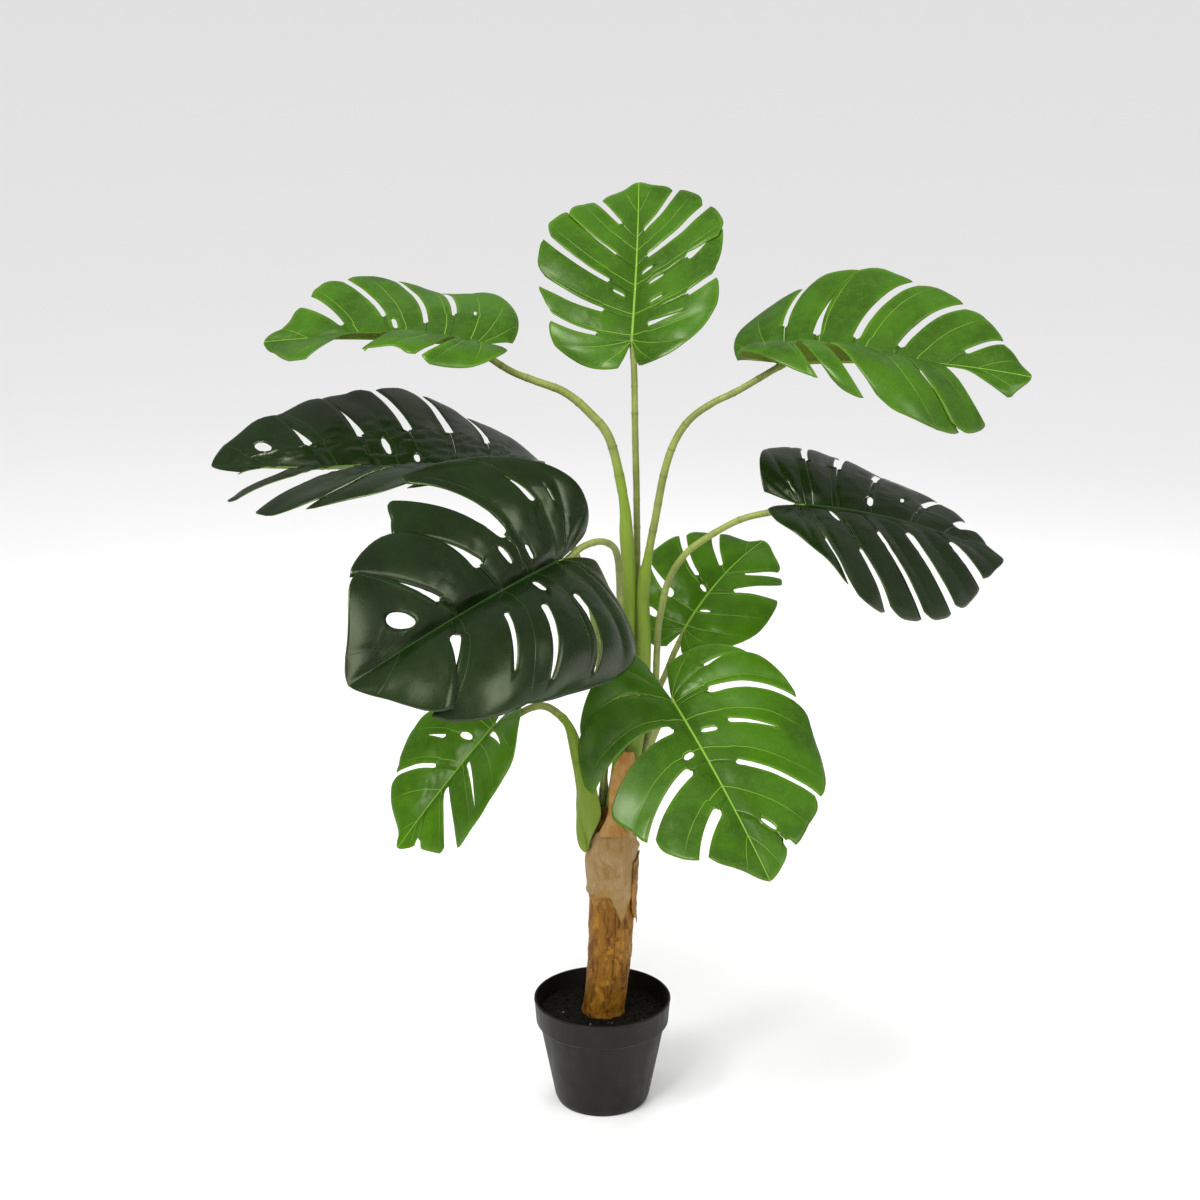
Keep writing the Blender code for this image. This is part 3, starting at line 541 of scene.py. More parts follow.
def node(tree, kind, values=None, **settings):
    """Adds a shader node. A value that is a socket is linked, and any other is set."""
    made = tree.nodes.new("ShaderNode" + kind)
    for name, setting in settings.items():
        setattr(made, name, setting)
    for name, value in (values or {}).items():
        if isinstance(value, bpy.types.NodeSocket):
            tree.links.new(value, made.inputs[name])
        else:
            made.inputs[name].default_value = value
    return made


def position(tree, stretch=(1.0, 1.0, 1.0)):
    """The point on the surface in metres. A scale under 1 draws the pattern out along that axis."""
    where = node(tree, "TexCoord").outputs["Object"]
    return node(tree, "Mapping", {"Vector": where, "Scale": stretch}).outputs["Vector"]


def mottle(tree, where, scale, detail=4.0, roughness=0.55, distortion=0.0):
    """Soft noise from 0 to 1 about 0.5."""
    return node(
        tree,
        "TexNoise",
        {"Vector": where, "Scale": scale, "Detail": detail, "Roughness": roughness, "Distortion": distortion},
    ).outputs["Fac"]


def ramp(tree, value, low, high, to_low=0.0, to_high=1.0):
    """A smooth step of a value: to_low up to low, to_high from high on."""
    return node(
        tree,
        "MapRange",
        {"Value": value, "From Min": low, "From Max": high, "To Min": to_low, "To Max": to_high},
        interpolation_type="SMOOTHSTEP",
    ).outputs["Result"]


def math_node(tree, operation, first, second=0.0):
    """The result of a sum on two values."""
    return node(tree, "Math", {0: first, 1: second}, operation=operation).outputs["Value"]


def blend(tree, factor, first, second):
    """A mix of two colours, each a socket or (r, g, b)."""
    made = node(tree, "Mix", data_type="RGBA", blend_type="MIX")
    for index, value in ((0, factor), (6, first), (7, second)):
        if isinstance(value, bpy.types.NodeSocket):
            tree.links.new(value, made.inputs[index])
        elif index:
            made.inputs[index].default_value = (*value, 1.0)
        else:
            made.inputs[index].default_value = value
    return made.outputs[2]


def attribute(tree, name):
    """A value stored on the mesh."""
    return node(tree, "Attribute", attribute_name=name, attribute_type="GEOMETRY").outputs["Fac"]


def relief(tree, height, distance, strength=1.0, under=None):
    """A bump of the given height in metres, over another."""
    values = {"Height": height, "Distance": distance, "Strength": strength}
    if under:
        values["Normal"] = under
    return node(tree, "Bump", values).outputs["Normal"]


def scaled(colour, factor):
    """A colour made darker or lighter."""
    return tuple(min(1.0, factor * part) for part in colour)


def halfway(first, second):
    """The colour between two."""
    return tuple(0.5 * a + 0.5 * b for a, b in zip(first, second))


def new_material(name):
    """A new material, its node tree and its Principled shader."""
    made = bpy.data.materials.new(name)
    made.use_nodes = True
    return made, made.node_tree, made.node_tree.nodes["Principled BSDF"]


def finish_shader(tree, shader, colour, roughness, normal=None, **constants):
    """Sets or links the Principled shader's sockets."""
    for name, value in (("Base Color", colour), ("Roughness", roughness), ("Normal", normal)):
        if isinstance(value, bpy.types.NodeSocket):
            tree.links.new(value, shader.inputs[name])
        elif value is not None:
            shader.inputs[name].default_value = value
    for name, value in constants.items():
        shader.inputs[name.replace("_", " ")].default_value = value


POT_GLOSS = 0.22
SOIL_GLOSS = 0.12
DULL_GLOSS = 0.2
STEM_GLOSS = 0.25
LEAF_GLOSS = (0.90, 1.0, 0.68, 1.0)
MARGIN_WIDTH = 0.007
DEEP_MARGIN = (0.012, 0.030, 0.006)
DEEP_UNDER = (0.10, 0.16, 0.022)
# Underside of the two back leaves, partly painted light: made brighter to stand in for light shining through
# them.
YOUNG_BACKLIT_UNDER = (0.17, 0.30, 0.04)
JOINT_BROWN = (0.095, 0.100, 0.026)


def pot_plastic(settings):
    """Black moulded plastic with a dull sheen and fine dust."""
    made, tree, shader = new_material("pot plastic")
    where = position(tree)
    dust = ramp(tree, mottle(tree, where, 38.0, 6.0, 0.65), 0.48, 0.78)
    colour = blend(tree, dust, tuple(settings.colour), scaled(settings.colour, 2.1))
    streak = mottle(tree, position(tree, (1.0, 1.0, 0.18)), 90.0, 3.0)
    roughness = ramp(tree, streak, 0.3, 0.7, settings.roughness - 0.05, settings.roughness + 0.09)
    grain = relief(tree, mottle(tree, where, 900.0, 2.0), 0.00006, 0.5)
    waviness = relief(tree, mottle(tree, where, 30.0, 2.0), 0.0006, 0.5, grain)
    finish_shader(tree, shader, colour, roughness, waviness, Specular_IOR_Level=POT_GLOSS)
    return made


def damp_soil(settings):
    """Near-black crumbly soil."""
    made, tree, shader = new_material("damp soil")
    where = position(tree)
    tone = ramp(tree, mottle(tree, where, 260.0, 5.0, 0.7), 0.40, 0.72)
    dark = tuple(settings.colour)
    colour = blend(tree, tone, dark, (0.012, 0.010, 0.007))
    brown = ramp(tree, mottle(tree, where, 700.0, 2.0), 0.66, 0.74)
    colour = blend(tree, brown, colour, (0.040, 0.024, 0.011))
    grain = relief(tree, mottle(tree, where, 1300.0, 4.0, 0.7), 0.0008, 1.0)
    dull = ramp(tree, tone, 0.0, 1.0, 0.62, 0.95)
    finish_shader(tree, shader, colour, dull, grain, Specular_IOR_Level=SOIL_GLOSS)
    return made


def pale_fleck(settings):
    """A pale fleck on the soil."""
    made, tree, shader = new_material("pale fleck")
    tone = mottle(tree, position(tree), 800.0, 3.0)
    colour = blend(tree, tone, tuple(settings.fleck), scaled(settings.fleck, 0.4))
    finish_shader(tree, shader, colour, 0.9)
    return made


def bark_material(name, light, dark, fineness, contrast, blush=None):
    """Wrinkled, mottled bark between two tones, with long fibres up the trunk."""
    made, tree, shader = new_material(name)
    stretch = (1.0, 1.0, fineness)
    fibre = mottle(tree, position(tree, stretch), 260.0, 6.0, 0.62, 0.4)
    patch = mottle(tree, position(tree, (1.0, 1.0, 0.75)), 42.0, 6.0, 0.68, 1.2)
    blotch = ramp(tree, patch, 0.5 - contrast, 0.5 + contrast)
    colour = blend(tree, blotch, light, dark)
    colour = blend(tree, ramp(tree, fibre, 0.36, 0.66), colour, halfway(light, dark))
    streak = ramp(tree, mottle(tree, position(tree, stretch), 120.0, 5.0, 0.6, 0.3), 0.60, 0.74, 0.0, 0.5)
    colour = blend(tree, streak, colour, scaled(dark, 0.55))
    if blush:
        warm = ramp(tree, mottle(tree, position(tree), 22.0, 3.0), 0.52, 0.66, 0.0, 0.6)
        colour = blend(tree, warm, colour, blush)
    wrinkle = mottle(tree, position(tree, (0.25, 0.25, 1.0)), 150.0, 5.0, 0.6, 0.5)
    normal = relief(tree, fibre, 0.0012, 0.6)
    normal = relief(tree, wrinkle, 0.0016, 0.5, normal)
    dull = ramp(tree, patch, 0.3, 0.7, 0.48, 0.70)
    finish_shader(tree, shader, colour, dull, normal, Specular_IOR_Level=DULL_GLOSS)
    return made


def stem_material(settings):
    """Smooth olive green, yellower on the sheaths, with darker joints and faint streaks."""
    made, tree, shader = new_material("stem")
    where = position(tree)
    streak = mottle(tree, position(tree, (1.0, 1.0, 0.06)), 420.0, 3.0)
    patch = mottle(tree, where, 26.0, 3.0)
    olive = tuple(settings.olive)
    colour = blend(tree, ramp(tree, patch, 0.35, 0.65), olive, scaled(olive, 0.70))
    sheath = blend(tree, patch, tuple(settings.sheath), (0.14, 0.23, 0.022))
    colour = blend(tree, attribute(tree, "sheath"), colour, sheath)
    colour = blend(tree, ramp(tree, streak, 0.45, 0.75, 0.0, 0.4), colour, scaled(olive, 0.45))
    colour = blend(tree, attribute(tree, "ring"), colour, JOINT_BROWN)
    normal = relief(tree, streak, 0.0003, 0.5)
    sheen = ramp(tree, patch, 0.3, 0.7, 0.40, 0.52)
    finish_shader(tree, shader, colour, sheen, normal, Specular_IOR_Level=STEM_GLOSS)
    return made


def leaf_top(name, green, vein, margin_tint, roughness, depth, tinting, gloss):
    """The glossy top of a blade: mottled green, thin veins, a lighter margin and fine cross-veins."""
    made, tree, shader = new_material(name)
    where = position(tree)
    across = attribute(tree, "across")
    broad = mottle(tree, where, 14.0, 2.0)
    fine = mottle(tree, where, 95.0, 4.0, 0.6)
    dark = scaled(green, depth)
    colour = blend(tree, ramp(tree, broad, 0.34, 0.66), dark, green)
    colour = blend(tree, ramp(tree, fine, 0.40, 0.75, 0.0, 0.35), colour, scaled(green, 1.35))
    near_rib = ramp(tree, across, 0.05, 0.42, 0.55, 0.0)
    colour = blend(tree, near_rib, colour, dark)
    rim = ramp(tree, attribute(tree, "edge"), 0.0, MARGIN_WIDTH, tinting, 0.0)
    patchy = math_node(tree, "MULTIPLY", rim, ramp(tree, broad, 0.30, 0.62, 0.35, 1.0))
    colour = blend(tree, patchy, colour, margin_tint)
    flat = node(tree, "Attribute", attribute_name="flat", attribute_type="GEOMETRY").outputs["Vector"]
    cells = node(tree, "TexVoronoi", {"Vector": flat, "Scale": 260.0}, feature="DISTANCE_TO_EDGE")
    cross = ramp(tree, cells.outputs["Distance"], 0.0, 0.09, 0.10, 0.0)
    colour = blend(tree, cross, colour, vein)
    side = ramp(tree, attribute(tree, "vein"), 0.40, 1.05, 0.9, 0.0)
    side = math_node(tree, "MULTIPLY", side, ramp(tree, across, 0.62, 0.97, 1.0, 0.15))
    rib = ramp(tree, attribute(tree, "rib"), 0.60, 1.0, 1.0, 0.0)
    colour = blend(tree, side, colour, vein)
    colour = blend(tree, rib, colour, vein)
    normal = relief(tree, mottle(tree, where, 420.0, 3.0), 0.00012, 0.45)
    normal = relief(tree, cross, 0.0004, 0.35, normal)
    normal = relief(tree, side, 0.0006, 0.8, normal)
    sheen = ramp(tree, mottle(tree, where, 30.0, 3.0), 0.3, 0.7, roughness - 0.03, roughness + 0.07)
    finish_shader(tree, shader, colour, sheen, normal, Specular_IOR_Level=gloss, Specular_Tint=LEAF_GLOSS)
    return made


def leaf_under(name, green):
    """The duller, yellower underside of a blade, with veins that stand out."""
    made, tree, shader = new_material(name)
    where = position(tree)
    patch = mottle(tree, where, 18.0, 3.0)
    colour = blend(tree, patch, green, scaled(green, 0.62))
    lighter = scaled(green, 1.45)
    side = ramp(tree, attribute(tree, "vein"), 0.6, 1.6, 0.8, 0.0)
    rib = ramp(tree, attribute(tree, "rib"), 0.8, 1.4, 1.0, 0.0)
    colour = blend(tree, side, colour, lighter)
    colour = blend(tree, rib, colour, lighter)
    normal = relief(tree, mottle(tree, where, 300.0, 3.0), 0.0002, 0.5)
    dull = ramp(tree, patch, 0.3, 0.7, 0.5, 0.6)
    finish_shader(tree, shader, colour, dull, normal, Specular_IOR_Level=DULL_GLOSS)
    return made


# Shared ways to make a mesh


def add_piece(name, mesh, materials, cad_node):
    """Puts a mesh in the scene as one piece that stands for a CAD node and rides on the body."""
    for material in materials:
        mesh.materials.append(material)
    piece = bpy.data.objects.new(name, mesh)
    bpy.context.scene.collection.objects.link(piece)
    mesh.shade_smooth()
    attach(piece, BODY)
    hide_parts(cad_node)
    return piece


def thicken(piece, thickness, offset):
    """Gives a sheet its thickness: all inwards at an offset of -1, and half each way at 0."""
    sheet = piece.modifiers.new("thickness", "SOLIDIFY")
    sheet.thickness = thickness
    sheet.offset = offset
    return sheet


def mesh_from(name, shape):
    """Turns a bmesh into a mesh."""
    mesh = bpy.data.meshes.new(name)
    shape.to_mesh(mesh)
    shape.free()
    return mesh


def store(mesh, name, kind, values):
    """Stores one value for each vertex."""
    layer = mesh.attributes.new(name, kind, "POINT")
    layer.data.foreach_set("vector" if kind == "FLOAT_VECTOR" else "value", values)


def turned(profile, sides):
    """A bmesh turned about Z from (radius, height) points. A point on the axis closes it."""
    shape = bmesh.new()
    rings = []
    for radius, height in profile:
        if radius < 1e-9:
            rings.append([shape.verts.new((0.0, 0.0, height))] * sides)
            continue
        ring = []
        for side in range(sides):
            angle = math.tau * side / sides
            ring.append(shape.verts.new((radius * math.cos(angle), radius * math.sin(angle), height)))
        rings.append(ring)
    for lower, upper in zip(rings, rings[1:]):
        for side in range(sides):
            after = (side + 1) % sides
            corners = dict.fromkeys((lower[side], lower[after], upper[after], upper[side]))
            shape.faces.new(tuple(corners))
    bmesh.ops.recalc_face_normals(shape, faces=shape.faces)
    return shape


def rounded(profile, steps=5):
    """Rounds the corners of a profile given as (radius, height, corner size) points."""
    smooth = []
    for index, (radius, height, corner) in enumerate(profile):
        here = Vector((radius, height))
        if not corner or index in (0, len(profile) - 1):
            smooth.append(tuple(here))
            continue
        before = (Vector(profile[index - 1][:2]) - here).normalized() * corner + here
        after = (Vector(profile[index + 1][:2]) - here).normalized() * corner + here
        for step in range(steps + 1):
            share = step / steps
            point = before.lerp(here, share).lerp(here.lerp(after, share), share)
            smooth.append(tuple(point))
    return smooth


def trunk_at(height):
    """The trunk's centre x, centre y and radius at a height."""
    for lower, upper in zip(TRUNK, TRUNK[1:]):
        if height <= upper[0]:
            share = (height - lower[0]) / (upper[0] - lower[0])
            return tuple(low + share * (high - low) for low, high in zip(lower[1:], upper[1:]))
    return TRUNK[-1][1:]


# Leaf geometry


# A flat blade's outline, for a blade one unit long
BASAL_SHARE = 0.28  # lines that all start at the stem
LAST_ROOT = 0.92
ROOT_CROWDING = 1.55
OUTLINE_TURN = math.radians(172.0)
WIDEST = 0.30
AHEAD, BEHIND = 0.65, 0.50
HALF_WIDTH = 0.50
POINT_LENGTH, POINT_SHARPNESS = 0.05, 40
TAPER, TAPER_SHARPNESS = 0.35, 8
BOW = 0.18


def vein_root(place):
    """How far along the midrib the line at this place, counted in lobes from the sinus, starts."""
    return LAST_ROOT * max(0.0, (place / LOBES - BASAL_SHARE) / (1.0 - BASAL_SHARE)) ** ROOT_CROWDING


def margin(place):
    """The flat margin's point at this place, counted in lobes from the sinus."""
    turn = OUTLINE_TURN * (1.0 - place / LOBES)
    ahead = max(0.0, math.cos(turn))
    along = WIDEST + (AHEAD if ahead else BEHIND) * math.cos(turn) + POINT_LENGTH * ahead**POINT_SHARPNESS
    return along, HALF_WIDTH * math.sin(turn) * (1.0 - TAPER * ahead**TAPER_SHARPNESS)


def flat_point(place, out, width, reach):
    """A point of the flat blade: out runs from 0 at the midrib to 1 at the margin, along a bowed line."""
    root = vein_root(place)
    end_x, end_y = margin(place)
    step_x = (end_x - root) * reach
    step_y = end_y * width * reach
    bow = BOW * step_y / max(1e-9, math.hypot(step_x, step_y))
    middle_x = root + 0.5 * step_x - bow * step_y
    middle_y = 0.5 * step_y + bow * step_x
    near, between, far = (1 - out) ** 2, 2 * out * (1 - out), out * out
    return near * root + between * middle_x + far * (root + step_x), between * middle_y + far * step_y


def through_three(values, along):
    """A smooth value along the midrib from its base, middle and tip values."""
    base, middle, tip = values
    along = min(1.0, max(-0.2, along))
    return (
        base * (along - 0.45) * (along - 1.0) / 0.45
        - middle * along * (along - 1.0) / (0.45 * 0.55)
        + tip * along * (along - 0.45) / 0.55
    )


def direction(heading, pitch):
    """The unit vector that points this way."""
    level = math.cos(pitch)
    return Vector((math.cos(heading) * level, math.sin(heading) * level, math.sin(pitch)))


class Midrib:
    """The midrib's point and its forward, leftward and upward directions, at steps along its length."""

    def __init__(self, leaf):
        turn = (math.radians(leaf.heading), math.radians(leaf.sweep))
        tilt = (math.radians(leaf.pitch), math.radians(leaf.bend))
        step = (LAST_SHARE - FIRST_SHARE) / FRAME_STEPS
        shares = [FIRST_SHARE + step * index for index in range(FRAME_STEPS + 1)]
        start = min(range(len(shares)), key=lambda index: abs(shares[index]))
        points = {start: Vector(leaf.junction) + direction(turn[0], tilt[0]) * (leaf.length * shares[start])}
        for way in (1, -1):
            index = start
            while 0 <= index + way <= FRAME_STEPS:
                share = shares[index] + 0.5 * way * step
                heading = direction(turn[0] + turn[1] * share, tilt[0] - tilt[1] * share)
                points[index + way] = points[index] + heading * (way * step * leaf.length)
                index += way
        self.step = step
        self.stations = []
        for index, share in enumerate(shares):
            heading = turn[0] + turn[1] * share
            pitch = tilt[0] - tilt[1] * share
            forward = direction(heading, pitch)
            upward = direction(heading, pitch + math.pi / 2)
            leftward = upward.cross(forward)
            roll = math.radians(leaf.roll + leaf.twist * share)
            rolled_left = leftward * math.cos(roll) + upward * math.sin(roll)
            rolled_up = upward * math.cos(roll) - leftward * math.sin(roll)
            self.stations.append((points[index], forward, rolled_left, rolled_up))

    def at(self, along):
        """Between the two nearest steps."""
        place = min(FRAME_STEPS - 1e-6, max(0.0, (along - FIRST_SHARE) / self.step))
        index = int(place)
        share = place - index
        return [low.lerp(high, share) for low, high in zip(self.stations[index], self.stations[index + 1])]


def reach_at(half, place):
    """The length of the blade's line at a place: each lobe's own in its middle, and shared at the seams."""
    lobe = min(LOBES - 1, int(place))
    offset = place - lobe
    ahead = offset > 0.5
    neighbour = lobe + 1 if ahead else max(0, lobe - 1)
    beside = half.reach[neighbour] if neighbour < LOBES else 2.0 - half.reach[lobe]
    shared = 0.5 * (half.reach[lobe] + beside)
    toward = abs(offset - 0.5) * 2.0
    shortened = 1.0 - BASAL_ROUNDING * max(0.0, 1.0 - place / 0.9) ** 2
    return shortened * (half.reach[lobe] + (shared - half.reach[lobe]) * toward)


def line_length(half, place):
    """The length of the blade's straight line at a place, for a blade one unit long."""
    end_x, end_y = margin(place)
    return math.hypot(end_x - vein_root(place), end_y * half.width)


def end_round(cut, length):
    """How much of the line the round inner end of a cut takes."""
    return min(0.5 * cut.width / length, 0.45 * (cut.end - cut.start))


def opening(cut, out, length):
    """Half the width of a cut at this distance out: round at its inner end, pointed at a closed outer end."""
    if out <= cut.start or (out >= cut.end and cut.end < 1.0):
        return 0.0
    share = min(1.0, (out - cut.start) / (cut.end - cut.start))
    if not cut.flare:
        return 0.5 * cut.width * math.sqrt(max(0.0, 1.0 - (2.0 * share - 1.0) ** 2))
    inner = min(1.0, (out - cut.start) / end_round(cut, length))
    half_width = 0.5 * cut.width * (1.0 + (cut.flare - 1.0) * share) * math.sqrt(1.0 - (1.0 - inner) ** 2)
    if cut.end < 1.0:
        half_width *= math.sqrt(max(0.0, 1.0 - share**4))
    return half_width


ROUNDING_SHARES = (0.0, 0.06, 0.22, 0.5, 1.0)  # where rows lie along the round end of a cut
ROW_CROWDING = 1.15


def rows_for(cuts, rows, length):
    """Rows from midrib to margin, moved together at the ends of the cuts so that these come out round."""
    places = [(row / rows) ** ROW_CROWDING for row in range(rows + 1)]
    dense = []
    for cut in cuts:
        end = end_round(cut, length)
        dense += [cut.start + end * share for share in ROUNDING_SHARES]
        if cut.end < 1.0:
            dense += [cut.end - end * share for share in ROUNDING_SHARES]
    free = set(range(1, rows))
    for wanted in sorted(dense):
        nearest = min(free, key=lambda row: abs(places[row] - wanted))
        places[nearest] = wanted
        free.discard(nearest)
    return sorted(places)


def column_places(leaf, columns):
    """Where the mesh's columns lie: evenly, and at each place that a cut needs on either half."""
    cut_places = sorted({cut.place for half in (leaf.left, leaf.right) for cut in half.cuts})
    even = [index / columns for index in range(LOBES * columns + 1)]
    kept = [
        place
        for place in even
        if place in (0.0, float(LOBES)) or all(abs(place - cut) > 0.55 / columns for cut in cut_places)
    ]
    return sorted(set(kept) | set(cut_places))


# A blade's relief and ribs
FLAT_NEAR_RIB = 0.018
BILLOW = 0.0022
CRINKLE_AT, CRINKLE_SPAN = 0.28, 0.26
MARGIN_WAVE = 0.0032
MARGIN_DROOP = 0.0030
RIB_HALF_WIDTH = 0.0021
SINUS_RIB_HALF_WIDTH = 0.0006
VEIN_HALF_WIDTH = 0.00085
VEIN_RIDGE = 0.0007
# How lobes round off beside an open cut: how much shorter, over how much of a lobe
TIP_CORNER = (0.075, 0.34)
BASE_CORNER = (0.018, 0.16)
SEAM_REACH = 0.5  # how far from its place a cut moves the columns, in lobes
SLOPE_STEP = 0.02


class Blade:
    """One leaf blade: its mesh's columns and rows, and the curled surface that they lie on."""

    def __init__(self, leaf, settings):
        self.leaf = leaf
        self.midrib = Midrib(leaf)
        self.rows = settings.rows
        self.places = column_places(leaf, settings.columns)
        self.seed = sum(leaf.junction) * 37.0

    def row_positions(self, half):
        """The rows of each column: fitted to the cuts where there are some, and in between elsewhere."""
        anchors = {0.0: rows_for((), self.rows, 1.0), float(LOBES): rows_for((), self.rows, 1.0)}
        for place in {cut.place for cut in half.cuts}:
            cuts = [cut for cut in half.cuts if cut.place == place]
            anchors[place] = rows_for(cuts, self.rows, line_length(half, place))
        known = sorted(anchors)
        found = []
        for place in self.places:
            before = max(key for key in known if key <= place)
            after = min(key for key in known if key >= place)
            share = (place - before) / (after - before) if after > before else 0.0
            found.append([low + (high - low) * share for low, high in zip(anchors[before], anchors[after])])
        return found

    def surface(self, half, side, x, y, height):
        """The curled blade's point at flat x and y, raised by a height along its normal."""
        leaf = self.leaf
        point, _, leftward, upward = self.midrib.at(x)
        half_width = 0.5 * leaf.length
        lift = math.radians(through_three(half.lift, x))
        curl = math.radians(through_three(half.curl, x))
        if abs(curl) < 1e-3:
            curl = 1e-3
        leaning = lift - curl * y * leaf.length / half_width
        across = half_width / curl * (math.sin(lift) - math.sin(leaning)) - height * math.sin(leaning)
        rise = half_width / curl * (math.cos(leaning) - math.cos(lift)) + height * math.cos(leaning)
        return point + leftward * (side * across) + upward * rise

    def height(self, place, out, x, y, side):
        """How far the blade stands off its plain surface: pleats, crinkles and a wavy margin."""
        leaf = self.leaf
        away = y * leaf.length
        near = min(1.0, away / FLAT_NEAR_RIB)
        near = near * near * (3.0 - 2.0 * near)
        between = abs(math.sin(math.pi * (place + 0.5)))
        crest = between**0.75
        fade = (1.0 - 0.75 * out**2) * min(1.0, 0.25 + place / 2.0)
        height = leaf.pleat * crest * fade * near
        spot = Vector((x * 9.0, side * y * 9.0 + 3.0, self.seed))
        height += BILLOW * near * noise.noise(spot * 0.8)
        crinkled = near * math.exp(-(((out - CRINKLE_AT) / CRINKLE_SPAN) ** 2))
        height += leaf.crinkle * crinkled * (noise.noise(spot * 3.6) + 0.5 * noise.noise(spot * 8.0))
        height += MARGIN_WAVE * near * out**3 * math.sin(2.4 * place + self.seed + 1.5 * side)
        return height - MARGIN_DROOP * near * out**8

    def build(self):
        """The blade as a sheet, with what its materials read, and a weight for its thickness."""
        leaf = self.leaf
        shape = bmesh.new()
        names = ("vein", "rib", "edge", "across", "stout", "flat_x", "flat_y")
        layers = {name: shape.verts.layers.float.new(name) for name in names}
        for side, half in ((1, leaf.left), (-1, leaf.right)):
            cut_places = sorted({cut.place for cut in half.cuts})
            rows = self.row_positions(half)
            strip = []
            for index, place in enumerate(self.places):
                sides = (-1, 1) if place in cut_places else (0,)
                for part in sides:
                    line = self.column(shape, layers, side, half, place, part, rows[index])
                    if strip and part != 1:
                        self.join(shape, strip[-1], line, side)
                    strip.append(line)
        bmesh.ops.remove_doubles(shape, verts=shape.verts, dist=1e-5)
        bmesh.ops.delete(
            shape, geom=[face for face in shape.faces if face.calc_area() < 1e-12], context="FACES_ONLY"
        )
        return shape, layers

    def join(self, shape, near, far, side):
        """Faces between two neighbouring columns."""
        for row in range(self.rows):
            corners = (near[row], far[row], far[row + 1], near[row + 1])
            shape.faces.new(corners if side > 0 else corners[::-1])

    def column(self, shape, layers, side, half, place, part, rows):
        """The vertices of one column, moved aside where cuts near it are open."""
        leaf = self.leaf
        length = line_length(half, place)
        reach = reach_at(half, place)
        open_cuts = [cut for cut in half.cuts if abs(cut.place - place) < SEAM_REACH]
        for cut in open_cuts:
            if cut.end < 1.0:
                continue
            off = place - cut.place or 0.001 * part
            size, span = TIP_CORNER if off > 0 else BASE_CORNER
            reach *= 1.0 - size * max(0.0, 1.0 - abs(off) / span) ** 2
        vein_place = min(LOBES - 0.5, math.floor(place) + 0.5)
        lower, upper = max(0.0, place - SLOPE_STEP), min(LOBES, place + SLOPE_STEP)
        line = []
        for out in rows:
            x, y = flat_point(place, out, half.width, reach)
            before = flat_point(lower, out, half.width, reach)
            after = flat_point(upper, out, half.width, reach)
            step = (after[0] - before[0], after[1] - before[1])
            spacing = math.hypot(*step) / (upper - lower)
            shift, clear, lap = 0.0, 1.0, 0.0
            for cut in open_cuts:
                width = opening(cut, out, length)
                if width == 0.0:
                    continue
                off = place - cut.place
                way = part if off == 0 else math.copysign(1.0, off)
                near = max(0.0, 1.0 - abs(off) / SEAM_REACH)
                shift += way * width * near
                clear = min(clear, abs(off) * spacing)
                if cut.end == 1.0:
                    lap += 0.5 * way * cut.step * near * ((out - cut.start) / (1.0 - cut.start)) ** 1.5
            if shift:
                x += shift * step[0] / math.hypot(*step)
                y += shift * step[1] / math.hypot(*step)
            y = max(0.0, y)
            height = self.height(place, out, x, y, side) + lap
            vert = shape.verts.new(self.surface(half, side, x, y, height))
            rib_half = SINUS_RIB_HALF_WIDTH
            if x > -0.01:
                rib_half = RIB_HALF_WIDTH * (1.0 - 0.72 * min(1.0, max(0.0, x)))
            vein_half = VEIN_HALF_WIDTH * (1.0 - 0.55 * out)
            vert[layers["vein"]] = min(9.0, abs(place - vein_place) * spacing * leaf.length / vein_half)
            vert[layers["rib"]] = min(9.0, y * leaf.length / rib_half)
            vert[layers["edge"]] = leaf.length * min((1.0 - out) * length, clear)
            vert[layers["across"]] = out
            vert[layers["flat_x"]] = x * leaf.length
            vert[layers["flat_y"]] = side * y * leaf.length
            stout = RIB_THICKNESS * (1.0 - 0.75 * max(0.0, x))
            stout *= math.exp(-((y * leaf.length / (1.6 * rib_half)) ** 2))
            ridge = VEIN_RIDGE * (1.0 - 0.8 * out) * math.exp(-(vert[layers["vein"]] / 1.6) ** 2)
            vert[layers["stout"]] = min(1.0, (BLADE_THICKNESS + max(stout, ridge)) / RIB_THICKNESS)
            line.append(vert)
        return line


def add_leaf(leaf, settings, tops, unders):
    """One leaf blade, thickened on its underside, where the midrib and veins stand out."""
    shape, layers = Blade(leaf, settings).build()
    shape.verts.index_update()
    kept = {name: [vert[layer] for vert in shape.verts] for name, layer in layers.items()}
    mesh = mesh_from(leaf.name + "_blade", shape)
    flat = [value for x, y in zip(kept["flat_x"], kept["flat_y"]) for value in (x, y, 0.0)]
    for name in layers:
        mesh.attributes.remove(mesh.attributes[name])
    store(mesh, "flat", "FLOAT_VECTOR", flat)
    for name in ("vein", "rib", "edge", "across"):
        store(mesh, name, "FLOAT", kept[name])
    top, under = tops[leaf.green], unders[leaf.green]
    piece = add_piece(leaf.name + "_blade", mesh, (top, under, under), leaf.name)
    weights = piece.vertex_groups.new(name="stout")
    for index, value in enumerate(kept["stout"]):
        weights.add((index,), value, "REPLACE")
    sheet = thicken(piece, RIB_THICKNESS, -1.0)
    sheet.vertex_group = "stout"
    sheet.material_offset = 1
    sheet.material_offset_rim = 2


# Stem geometry


STEM_STEPS = 22
STEM_END_RUN = 0.006
RING_SPAN = 0.0016
RING_TINT = 0.6
COLLAR_FROM_TIP, COLLAR_SPAN, COLLAR_HEIGHT = 0.010, 0.0035, 0.0007
TIP_RINGS = 4
SHEATH_LIP_SPAN = 0.012
SHEATH_LIP_HEIGHT = 1.6  # in heights of a joint's ring
SHEATH_FADE = 0.04
STEM_BUMP, STEM_BUMPS_PER_METRE = 0.035, 40.0


